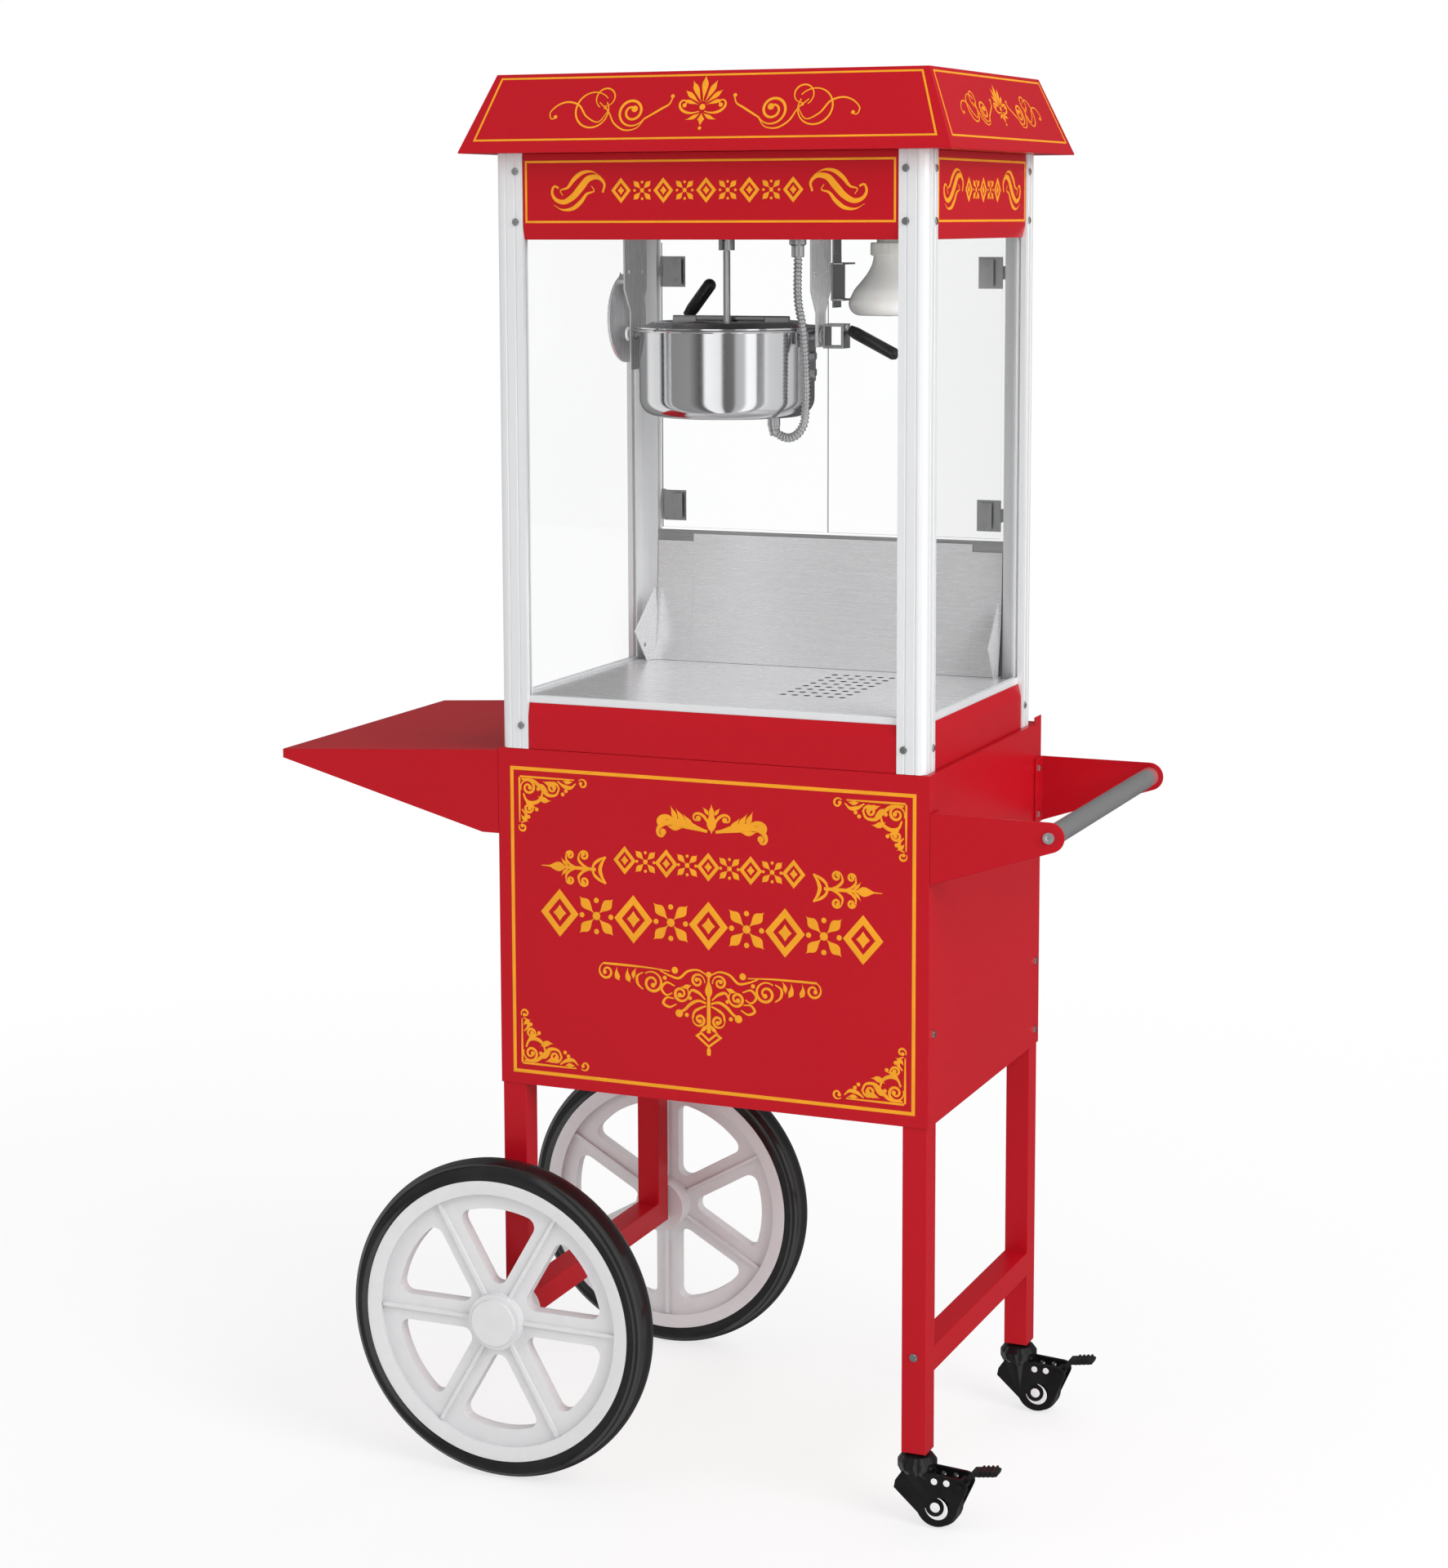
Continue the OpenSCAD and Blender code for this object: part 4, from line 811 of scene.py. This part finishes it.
class POPCORN_OT_wheels(bpy.types.Operator):
    """Spoked plastic wheels with their webs and glossy black tyres"""

    bl_idname = "popcorn.wheels"
    bl_label = "Big wheels"

    def execute(self, context):
        spoke_half, corner, window_edge, web_edge, hub_edge, web_half = 15, 11, 127, 150, 29, 7.8
        inner, shoulder, tread = 161.1, 13, 30
        for end, turn in (("front", 0), ("rear", 30)):
            dress("rim_" + end, wheel_plastic(), 1.0, keep=30)
            low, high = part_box("tyre_" + end)
            centre = np.array((low + high) / 2) / MM
            reach = (high.x - low.x) / 2 / MM
            half = (high.y - low.y) / 2 / MM
            windows = [spoke_window(spoke_half, corner, window_edge, turn + 60 * k)
                       for k in range(6)]
            web = slab("wheel_web_" + end, [arc((0, 0), web_edge, 0, 357, 119), *windows,
                       arc((0, 0), hub_edge, 0, 350, 35)], centre, web_half, wheel_plastic(),
                       "wheel_" + end)
            rounding = web.modifiers.new("rounded edges", "BEVEL")
            rounding.width = 1.2 * MM
            rounding.segments = 2
            rounding.limit_method = "ANGLE"
            rounding.angle_limit = math.radians(60)
            flank = arc((reach - shoulder - 1, half - shoulder), shoulder, 90, 20, 8)
            crown = arc((reach - tread, 0), tread, 9, 0, 3)
            upper = np.concatenate([[(inner, 17.6), (inner + 3, 18.2)], flank, crown])
            profile = np.concatenate([upper, upper[-2::-1] * (1, -1)])
            turned("tyre_%s_rubber" % end, profile, centre, (0, 1, 0), tyre_rubber(),
                   "wheel_" + end, 144, ["tyre_" + end], keep=40)
        return {"FINISHED"}


# ---- ornament ----


def run(start, heading, length, bends, count=40):
    """Path whose heading, in degrees, turns as it goes: the turn is the running sum of the bends,
    given as (share of the length, degrees per whole length), and each step moves along the
    heading."""
    share = np.linspace(0, 1, count)
    rate = np.interp(share, *np.transpose(bends))
    turn = np.concatenate([[0], np.cumsum((rate[1:] + rate[:-1]) / 2)]) / (count - 1)
    angle = np.radians(heading + (turn[1:] + turn[:-1]) / 2)
    step = np.stack([np.cos(angle), np.sin(angle)], 1) * length / (count - 1)
    return np.concatenate([[start], np.asarray(start, float) + np.cumsum(step, axis=0)])


def swell(path, width, ends=(0.3, 0.3), middle=0.5):
    """Width along a path: half cosines from the start's share up to full at the middle and down
    again."""
    share = np.linspace(0, 1, len(path))
    up = 0.5 - 0.5 * np.cos(np.pi * np.clip(share / middle, 0, 1))
    down = 0.5 - 0.5 * np.cos(np.pi * np.clip((1 - share) / (1 - middle), 0, 1))
    return width * np.where(share < middle, ends[0] + (1 - ends[0]) * up,
                            ends[1] + (1 - ends[1]) * down)


def stroke(path, width, ends=(0.3, 0.3), middle=0.5):
    """One painted stroke: (path, width at each point)."""
    return [(np.asarray(path, float), swell(path, width, ends, middle))]


def leaf(start, heading, length, width, bend=0, middle=0.45):
    """Pointed stroke that turns by the bend, in degrees."""
    return stroke(run(start, heading, length, [(0, bend), (1, bend)], 24), width, (0.06, 0.04),
                  middle)


def dome(outline):
    """Filled shape: (outline, None)."""
    return [(np.asarray(outline, float), None)]


def dot(centre, radius):
    """Round spot."""
    return dome(arc(centre, radius, 0, 360 - 22.5, 15))


def lozenge(centre, wide, high):
    """Filled diamond with slightly hollow sides: each side's middle is drawn in by a tenth."""
    t = np.radians(np.arange(0, 360, 15))
    reach = 1 / (np.abs(np.cos(t)) + np.abs(np.sin(t)))
    reach *= 1 - 0.1 * np.abs(np.sin(2 * t))
    return dome(np.stack([centre[0] + reach * wide / 2 * np.cos(t),
                          centre[1] + reach * high / 2 * np.sin(t)], 1))


def volute(start, heading, length, spin, width, ball=0.8):
    """Stroke that starts nearly straight and curls ever tighter, ending in a ball."""
    path = run(start, heading, length, [(0, 0.15 * spin), (0.5, 0.45 * spin), (1, 2.4 * spin)], 56)
    return stroke(path, width, (0.4, 0.45), 0.4) + dot(path[-1], ball * width)


def ring(corners, width):
    """Closed line with mitred corners: (corners, width, True)."""
    corners = np.asarray(corners, float)
    return [(corners, np.full(len(corners), float(width)), True)]


def moved(art, move=(0, 0), size=1.0, flip=False, upside=False):
    """Art scaled, mirrored left to right or top to bottom, and moved."""
    scale = np.array([-size if flip else size, -size if upside else size], float)
    odd = flip != upside
    out = []
    for item in art:
        points = item[0] * scale
        if odd and (item[1] is None or len(item) == 3):
            points = points[::-1]
        out.append((points + move, None if item[1] is None else item[1] * abs(size), *item[2:]))
    return out


def both(art):
    """Art and its mirror image."""
    return art + moved(art, flip=True)


def emboss(name, art, origin, across, up, rise, body="frame", paint=gold_paint):
    """Raised ornament on a plane. A stroke is a bead: at each path point the profile runs from one
    edge over two shoulders and a crown to the other edge, along the path's normal. A filled shape
    is its outline, the outline drawn in at the shoulder's height, and a point over its middle.
    Each item stands a little higher than the one before, in turns of six, so crossings stay
    clean."""
    stagger, drawn_in = 0.04, 0.86
    points, faces, base = [], [], 0
    across_profile = np.array([-0.5, -0.44, 0.0, 0.44, 0.5])
    height_profile = np.array([0.0, 0.8, 1.0, 0.8, 0.0])
    for number, item in enumerate(art):
        path, width = item[0], item[1]
        lift = rise * (1 + stagger * (number % 6))
        count = len(path)
        if width is None:
            middle = path.mean(0)
            flat = np.concatenate([path, middle + (path - middle) * drawn_in, middle[None]])
            level = np.repeat([0, 0.8 * lift, lift], [count, count, 1])
            k = np.arange(count)
            n = (k + 1) % count
            faces += np.stack([base + k, base + n, base + count + n, base + count + k], 1).tolist()
            faces += np.stack([base + count + k, base + count + n,
                               np.full(count, base + 2 * count)], 1).tolist()
            faces.append((base + k[::-1]).tolist())
        else:
            closed = len(item) == 3
            if closed:
                ahead = np.roll(path, -1, 0) - path
            else:
                ahead = np.gradient(path, axis=0)
            ahead /= np.linalg.norm(ahead, axis=1)[:, None]
            normal = np.stack([-ahead[:, 1], ahead[:, 0]], 1)
            if closed:
                before = np.roll(normal, 1, 0)
                normal = (normal + before) / (1 + (normal * before).sum(1))[:, None]
            offset = across_profile[:, None] * width[:, None, None]
            grid = path[:, None] + normal[:, None] * offset
            flat = grid.reshape(-1, 2)
            level = np.tile(height_profile * lift, count)
            faces += (base + grid_faces(count, 5, closed, True)).tolist()
            if not closed:
                faces.append((base + np.arange(5)).tolist())
                faces.append((base + (count - 1) * 5 + np.arange(5)[::-1]).tolist())
        spot = flat[:, :1] * MM * np.array(across) + flat[:, 1:] * MM * np.array(up)
        points.append(spot + level[:, None] * np.cross(across, up) + np.array(origin))
        base += len(flat)
    return add_piece(name, np.concatenate(points), faces, paint(), body, False)


def direction(angle):
    """Unit vector at an angle in degrees."""
    return np.array([math.cos(math.radians(angle)), math.sin(math.radians(angle))])


def rosette(size):
    """Four leaves on the diagonals, a middle spot and four small spots between them."""
    art = dot((0, 0), 0.1 * size)
    for angle in (45, 135, 225, 315):
        away = direction(angle)
        art += leaf(away * 0.1 * size, angle, 0.52 * size, 0.25 * size, 0, 0.6)
    for angle in (0, 90, 180, 270):
        away = direction(angle)
        art += dot(away * 0.38 * size, 0.065 * size)
    return art


def jewel(size):
    """Diamond ring round a solid diamond."""
    half, tall = 0.4 * size, 0.47 * size
    return (ring([(half, 0), (0, tall), (-half, 0), (0, -tall)], 0.15 * size)
            + lozenge((0, 0), 0.34 * size, 0.4 * size))


def band(units, pitch, size):
    """Row of rosettes and jewels in turn, centred."""
    art = []
    for k in range(units):
        unit = jewel(size) if k % 2 == 0 else rosette(size)
        art += moved(unit, ((k - (units - 1) / 2) * pitch, 0))
    return art


def spiral(centre, radius, start, sweep, inner):
    """Spiral path: at the angle start + t * sweep the radius has shrunk evenly to the inner
    share."""
    t = np.linspace(0, 1, 60)
    angle = np.radians(start + t * sweep)
    reach = radius * (1 - (1 - inner) * t)
    return np.stack([centre[0] + reach * np.cos(angle), centre[1] + reach * np.sin(angle)], 1)


def through(*points):
    """Smooth path through a few points."""
    return smooth_route(np.array(points, float), 44)


def line(*points, width, ends=(0.5, 0.5), middle=0.5):
    """Stroke along the smooth path through a few points."""
    return stroke(through(*points), width, ends, middle)


def coil(centre, radius, start, sweep, width, inner=0.22):
    """Spiral stroke that ends in a ball."""
    path = spiral(centre, radius, start, sweep, inner)
    return stroke(path, width, (0.45, 0.7), 0.35) + dot(path[-1], 0.85 * width)


def corner_scrolls():
    """Foliage for a top left corner: it reaches 86 to the right and 64 down from the origin."""
    art = stroke([(2, -1.2), (24, -1.2), (46, -1.2), (68, -1.2)], 2.4, (1, 0.6), 0.3)
    art += coil((78, -5), 5.5, 140, -330, 2.4, 0.4)
    art += stroke([(1.2, -2), (1.2, -20), (1.2, -38), (1.2, -52)], 2.4, (1, 0.6), 0.3)
    art += coil((5, -58), 5, 150, 330, 2.4, 0.4)
    art += coil((12, -13), 9.5, 200, -560, 3.0)
    art += line((4, -4), (18, -5), (28, -13), (36, -20), (46, -19), (50, -11), width=4.4)
    art += coil((42, -12), 8, -60, 440, 3.0)
    art += line((6, -20), (10, -28), (18, -30), (26, -26), (30, -16), width=4.2)
    art += coil((12, -36), 6.5, 60, -440, 2.8)
    art += line((48, -4), (56, -9), (64, -10), (70, -5), width=4.6, ends=(0.4, 0.3))
    art += line((4, -38), (9, -44), (8, -50), (3, -53), width=4.0, ends=(0.4, 0.3))
    art += leaf((20, -9), -8, 20, 6.5, -40) + leaf((24, -22), -40, 17, 6.5, 50)
    art += leaf((8, -26), -62, 18, 5.5, 60) + leaf((30, -5), -24, 20, 6.0, 30)
    art += leaf((54, -3), -20, 13, 4.6, 40) + leaf((3, -44), -60, 12, 4.2, 40)
    for spot in ((24, -14), (33, -27), (22, -37), (58, -14), (12, -46), (54, -18)):
        art += dot(spot, 2.2)
    return art


def spear():
    """Side motif that points to the right, 74 wide and 40 high: a spearhead, two pairs of curls
    and a flared foot."""
    half = line((-20, 1), (-22, 6), (-28, 11), (-36, 15), width=3.4, ends=(0.8, 0.5))
    half += line((-14, 1), (-8, 4), (-3, 10), (-4, 16), width=3.2, ends=(0.8, 0.6))
    half += coil((-9.5, 14.5), 5.6, 15, 400, 3.0, 0.35)
    half += line((2, 1), (8, 4), (12, 9), (12, 14), width=3.0, ends=(0.8, 0.6))
    half += coil((7.5, 14), 4.8, 5, 400, 2.8, 0.35)
    half += leaf((8, 1), 24, 14, 3.6, 40)
    art = half + moved(half, upside=True)
    art += stroke([(-24, 0), (-12, 0), (0, 0), (16, 0)], 4.2, (0.8, 0.7), 0.5)
    art += leaf((10, 0), 0, 26, 10.5, 0, 0.42)
    art += stroke([(32, 0), (35, 0), (42, 0)], 1.8, (1, 0.4), 0.2)
    art += line((-36, -15), (-31, -7), (-29, 0), (-31, 7), (-36, 15), width=4.4)
    return art


def crest():
    """Top motif, 134 wide and 34 high: two leafy wings and a palmette between two curls."""
    wing = stroke(run((5, -11), 10, 60, [(0, 40), (0.6, -60), (1, -260)], 40), 9.5, (0.35, 0.3),
                  0.5)
    wing += volute((40, -6), 50, 40, -430, 5.5, 0.8)
    wing += volute((48, -2), -10, 36, -360, 4.6, 0.8)
    wing += leaf((20, -9), 40, 20, 6.5, 20)
    wing += leaf((30, -6), 52, 21, 6.5, 10)
    wing += leaf((40, -4), 66, 20, 6.0, 0)
    wing += leaf((50, -1), 20, 15, 5.0, -50)
    wing += leaf((34, -9), -14, 20, 5.5, 40)
    wing += volute((2.5, -9), 84, 40, -400, 3.4, 0.9)
    wing += leaf((3, 6), 62, 12, 4, -20)
    art = both(wing)
    art += leaf((0, -13), 90, 28, 11, 0, 0.35) + leaf((0, 2), 90, 17, 6.5, 0, 0.45)
    return art


def arabesque():
    """Hanging motif, 264 wide and 92 high with its top at 0: curled top lines over linked coils
    that narrow to a chevron and a drop."""
    half = line((46, -5), (70, -3.5), (100, -3), (126, -3), width=2.6, ends=(0.5, 0.9), middle=0.8)
    half += coil((122, -12), 9.5, 68, -450, 2.8, 0.25)
    half += leaf((109, -6), -70, 16, 6.2, -60, 0.7) + leaf((96, -6), -70, 17, 6.2, -60, 0.7)
    half += leaf((86, -5), -50, 14, 4.6, -50, 0.6)
    half += coil((67, -20), 13, 50, 560, 3.2)
    half += line((78, -9), (85, -14), (84, -23), (78, -28), width=3.2, ends=(0.4, 0.5))
    half += line((3, -5), (12, -1), (24, -3), (36, -12), (46, -10), (58, -5), width=2.8,
                 ends=(0.6, 0.6))
    half += dot((40, -3.5), 3.8) + dot((52, -13), 2.4)
    half += coil((13, -13), 8.5, 190, -500, 2.8)
    half += coil((33, -29), 10, 130, 540, 3.2)
    half += line((40, -21), (50, -18), (56, -25), (50, -32), (43, -29), width=3.0)
    half += line((41, -35), (50, -35), (54, -41), (47, -45), (38, -41), width=3.0)
    half += line((4, -33), (12, -26), (20, -24), (24, -31), width=3.4)
    half += line((3, -37), (12, -35), (22, -40), (28, -46), (34, -50), width=3.6, ends=(0.6, 0.8))
    half += dot((35, -51), 4.4) + dot((26, -52), 2.4) + dot((22, -33), 2.2)
    half += line((3, -40), (10, -43), (17, -48), (19, -55), width=3.0, ends=(0.6, 0.8))
    half += coil((11, -56), 8, 5, -470, 3.0)
    half += leaf((2, -60), -66, 14, 4.4, 40) + leaf((20, -18), -30, 14, 5, 30)
    art = both(half)
    art += stroke([(0, -6), (0, -28), (0, -50), (0, -70)], 4.6, (0.5, 1), 0.8)
    art += leaf((0, -8), -90, 26, 8.5, 0, 0.6) + dot((0, -5), 3.4)
    art += ring([(0, -85), (14, -74), (9, -70.5), (0, -78), (-9, -70.5), (-14, -74)], 2.6)
    art += leaf((0, -83), -90, 12, 5, 0, 0.6) + dot((0, -93), 2.4)
    return art


def wave_scroll():
    """Heavy S motif, 66 wide and 42 high: two broad wave strokes side by side with curled tips."""
    upper = through((-30, -2), (-32, 7), (-25, 14), (-14, 13), (-4, 3), (6, -7), (17, -12),
                    (27, -8), (30, -1), (27, 5), (22, 3))
    art = stroke(upper, 7.5, (0.3, 0.3), 0.42)
    lower = through((-17, 5), (-20, 0), (-12, -3), (-4, -12), (6, -19), (18, -20), (28, -15))
    art += stroke(lower, 4.6, (0.2, 0.1), 0.5)
    return art + moved(stroke(lower, 4.6, (0.2, 0.1), 0.5), flip=True, upside=True)


def roof_flourish():
    """Slender line work for the right half of a roof face, from 35 to 177 across and 50 high."""
    curl = spiral((80, -3), 17, -150, 640, 0.24)
    art = stroke(curl, 3.0, (0.5, 0.8), 0.3) + dot(curl[-1], 3.6)
    art += line((35, 12), (38, 5), (46, 0), (56, -6), (65.3, -11.5), width=2.4, ends=(0.6, 0.8))
    art += dot((35.5, 13.5), 2.2)
    art += line((65, -12), (72, -21), (86, -23.5), (99, -16), (108, -2), (119, 8), width=1.9,
                ends=(0.5, 0.6))
    art += stroke(spiral((126, -1), 21, 140, -350, 0.86), 2.1, (0.6, 0.6))
    art += stroke(spiral((112, 13), 12, -60, 330, 0.75), 1.9, (0.6, 0.5))
    art += line((108, -2), (118, -14), (132, -8), (144, 6), (158, 9), (170, 4), (176, -4),
                (173, -10), (168, -8), width=2.1, ends=(0.5, 0.6))
    art += dot((169, -7.5), 2.1) + dot((112, 2), 1.7)
    return art


def fleuron():
    """Middle motif of a roof face, 58 wide and 56 high: a fan of leaves over a scrolled foot."""
    art = []
    for angle, size in ((90, 30), (64, 27), (116, 27), (40, 23), (140, 23), (18, 18), (162, 18)):
        away = direction(angle)
        art += leaf(away * 5 + (0, -2), angle, size, 6.4 * size / 27, 0, 0.66)
    art += dot((0, -3), 3.4)
    foot = volute((3, -8), -20, 44, 420, 3.0) + leaf((2, -10), -40, 18, 4.4, 30)
    art += both(foot)
    art += lozenge((0, -17), 8, 14) + dot((0, -27), 2.0)
    return art


def rectangle(left, bottom, right, top):
    """Corners of a rectangle, counter-clockwise."""
    return [(left, bottom), (right, bottom), (right, top), (left, top)]


class POPCORN_OT_casters(bpy.types.Operator):
    """Casters with their pedals and the white inserts of their forks"""

    bl_idname = "popcorn.casters"
    bl_label = "Casters"

    def execute(self, context):
        plate, cap = 15.0, 17.0
        insert = stroke(arc((0, -1), 11.6, -170, 78, 30), 5.2, (0.1, 0.12), 0.55)
        insert += dot((-2, 28), 3.7) + dot((12, 28), 3.7)
        for end in ("front", "rear"):
            fork = "caster_fork_" + end
            dress(fork, black_gloss(), 0.6, keep=30)
            dress("caster_wheel_" + end, black_satin(), 0.4, keep=30)
            dress("brake_pedal_" + end, black_satin(), 0.4, keep=30)
            low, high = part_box("caster_wheel_" + end)
            axle = (low + high) / 2
            for side, word in ((-1, "outer"), (1, "inner")):
                for art, level, part in ((insert, plate, "insert"),
                                         (dot((0, 0), 5.6), cap, "cap")):
                    place = (axle.x, axle.y + side * level * MM, axle.z)
                    emboss("caster_%s_%s_%s" % (part, end, word), moved(art, flip=side > 0), place,
                           (-side, 0, 0), (0, 0, 1), 0.0006, BODY_OF[fork], white_plastic)
        return {"FINISHED"}


class POPCORN_OT_front_art(bpy.types.Operator):
    """Border, corner scrolls and motifs on the cabinet's front panel"""

    bl_idname = "popcorn.front_art"
    bl_label = "Front ornament"

    def execute(self, context):
        settings = context.scene.popcorn_art
        low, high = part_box("cabinet_front")
        half = (high.x - low.x) / 2 / MM
        tall = (high.z - low.z) / MM
        side_gap, foot_gap, head_gap, corner_in, corner_up = 17, 15, 22, 25, 8
        crest_up, small_up, spear_up, large_up, scroll_up, spear_out = 314, 264, 251, 199, 150, 158
        left, bottom, top = -half + side_gap, foot_gap, tall - head_gap
        art = ring(rectangle(left, bottom, -left, top), settings.line)
        corner = corner_scrolls()
        for flip in (False, True):
            side = 1 if flip else -1
            out = side * (half - corner_in)
            art += moved(corner, (out, top - corner_up), flip=flip)
            art += moved(corner, (out, bottom + corner_up), flip=flip, upside=True)
        art += moved(crest(), (4, crest_up))
        art += moved(band(9, 24.8, 27), (0, small_up))
        art += moved(spear(), (spear_out, spear_up))
        art += moved(spear(), (-spear_out, spear_up), flip=True)
        art += moved(band(9, 44.6, 46), (0, large_up))
        art += moved(arabesque(), (0, scroll_up))
        emboss("front_ornament", art, ((low.x + high.x) / 2, low.y, low.z), (1, 0, 0), (0, 0, 1),
               settings.rise)
        return {"FINISHED"}


class POPCORN_OT_sign_art(bpy.types.Operator):
    """Borders and motifs on the signs under the roof"""

    bl_idname = "popcorn.sign_art"
    bl_label = "Sign ornament"

    def execute(self, context):
        rise = context.scene.popcorn_art.rise
        low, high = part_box("sign_front")
        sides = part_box("sign_sides")
        middle = (low.x + high.x) / 2
        depth = (sides[0].y + sides[1].y) / 2
        wide, deep = (high.x - low.x) / 2 / MM, (sides[1].y - sides[0].y) / 2 / MM
        border_in, border_foot, border_head, art_up, pitch = 4, 19, 83, 52, 24.6
        for name, half, units, origin, across in (
            ("front", wide, 9, (middle, low.y, low.z), (1, 0, 0)),
            ("right", deep, 5, (sides[1].x, depth, low.z), (0, 1, 0)),
            ("left", deep, 5, (sides[0].x, depth, low.z), (0, -1, 0)),
        ):
            art = ring(rectangle(-half + border_in, border_foot, half - border_in, border_head),
                       2.4)
            reach = units * 12.2 + 40
            art += moved(band(units, pitch, 23), (0, art_up))
            art += moved(wave_scroll(), (reach, art_up))
            art += moved(wave_scroll(), (-reach, art_up), flip=True)
            emboss("sign_ornament_" + name, art, origin, across, (0, 0, 1), rise)
        return {"FINISHED"}


class POPCORN_OT_roof_art(bpy.types.Operator):
    """Borders and flourishes on the roof's four slopes"""

    bl_idname = "popcorn.roof_art"
    bl_label = "Roof ornament"

    def execute(self, context):
        rise = context.scene.popcorn_art.rise
        low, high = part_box("roof_canopy")
        middle = (low + high) / 2
        lean_x, lean_y, foot = 34.0, 29.5, 1.5
        border_foot, border_gap, border_top, border_top_gap = 13, 13, 5, 9
        tall = (high.z - low.z) / MM - foot
        wide, deep = (high.x - low.x) / 2 / MM, (high.y - low.y) / 2 / MM
        for name, half, inset, side_inset, across, away, size in (
            ("front", wide, lean_y, lean_x, (1, 0, 0), (0, -1, 0), 1.0),
            ("back", wide, lean_y, lean_x, (-1, 0, 0), (0, 1, 0), 1.0),
            ("right", deep, lean_x, lean_y, (0, 1, 0), (1, 0, 0), 0.78),
            ("left", deep, lean_x, lean_y, (0, -1, 0), (-1, 0, 0), 0.78),
        ):
            away = np.array(away, float)
            reach = (wide if away[0] else deep) * MM
            origin = np.array([middle.x, middle.y, low.z + foot * MM]) + away * reach
            up = -away * inset * MM + np.array([0, 0, tall * MM])
            slope = np.linalg.norm(up) / MM
            up /= np.linalg.norm(up)
            top = slope - border_top
            below = half - side_inset * border_foot / slope - border_gap
            above = half - side_inset * top / slope - border_top_gap
            corners = [(-below, border_foot), (below, border_foot), (above, top), (-above, top)]
            art = ring(corners, 2.2)
            art += moved(both(roof_flourish()), (0, 46), size=size)
            art += moved(fleuron(), (0, 50), size=0.98 * size)
            emboss("roof_ornament_" + name, art, origin, across, up, rise)
        return {"FINISHED"}


# ---- panel and registration ----

STEPS = (
    POPCORN_OT_stage, POPCORN_OT_conduit, POPCORN_OT_panels, POPCORN_OT_metalwork,
    POPCORN_OT_glazing, POPCORN_OT_kettle, POPCORN_OT_lamp, POPCORN_OT_controls, POPCORN_OT_wheels,
    POPCORN_OT_casters, POPCORN_OT_front_art, POPCORN_OT_sign_art, POPCORN_OT_roof_art,
)
GROUPS = {
    "popcorn_stage": StageSettings, "popcorn_paint": PaintSettings, "popcorn_metal": MetalSettings,
    "popcorn_conduit": ConduitSettings, "popcorn_art": ArtSettings, "popcorn_edges": EdgeSettings,
}


class POPCORN_PT_build(bpy.types.Panel):
    """Sizes, colours and building steps of the popcorn machine"""

    bl_label = "Popcorn machine"
    bl_space_type = "VIEW_3D"
    bl_region_type = "UI"
    bl_category = "Popcorn"

    def draw(self, context):
        for group, kind in GROUPS.items():
            box = self.layout.box()
            for name in kind.__annotations__:
                box.prop(getattr(context.scene, group), name)
        for step in STEPS:
            self.layout.operator(step.bl_idname)


def register():
    for group, kind in GROUPS.items():
        bpy.utils.register_class(kind)
        setattr(bpy.types.Scene, group, PointerProperty(type=kind))
    for kind in (*STEPS, POPCORN_PT_build):
        bpy.utils.register_class(kind)


def unregister():
    for kind in (POPCORN_PT_build, *reversed(STEPS)):
        bpy.utils.unregister_class(kind)
    for group, kind in GROUPS.items():
        delattr(bpy.types.Scene, group)
        bpy.utils.unregister_class(kind)


def main():
    register()
    for step in STEPS:
        group, name = step.bl_idname.split(".")
        getattr(getattr(bpy.ops, group), name)()
    bpy.context.view_layer.update()


if __name__ == "__main__":
    main()
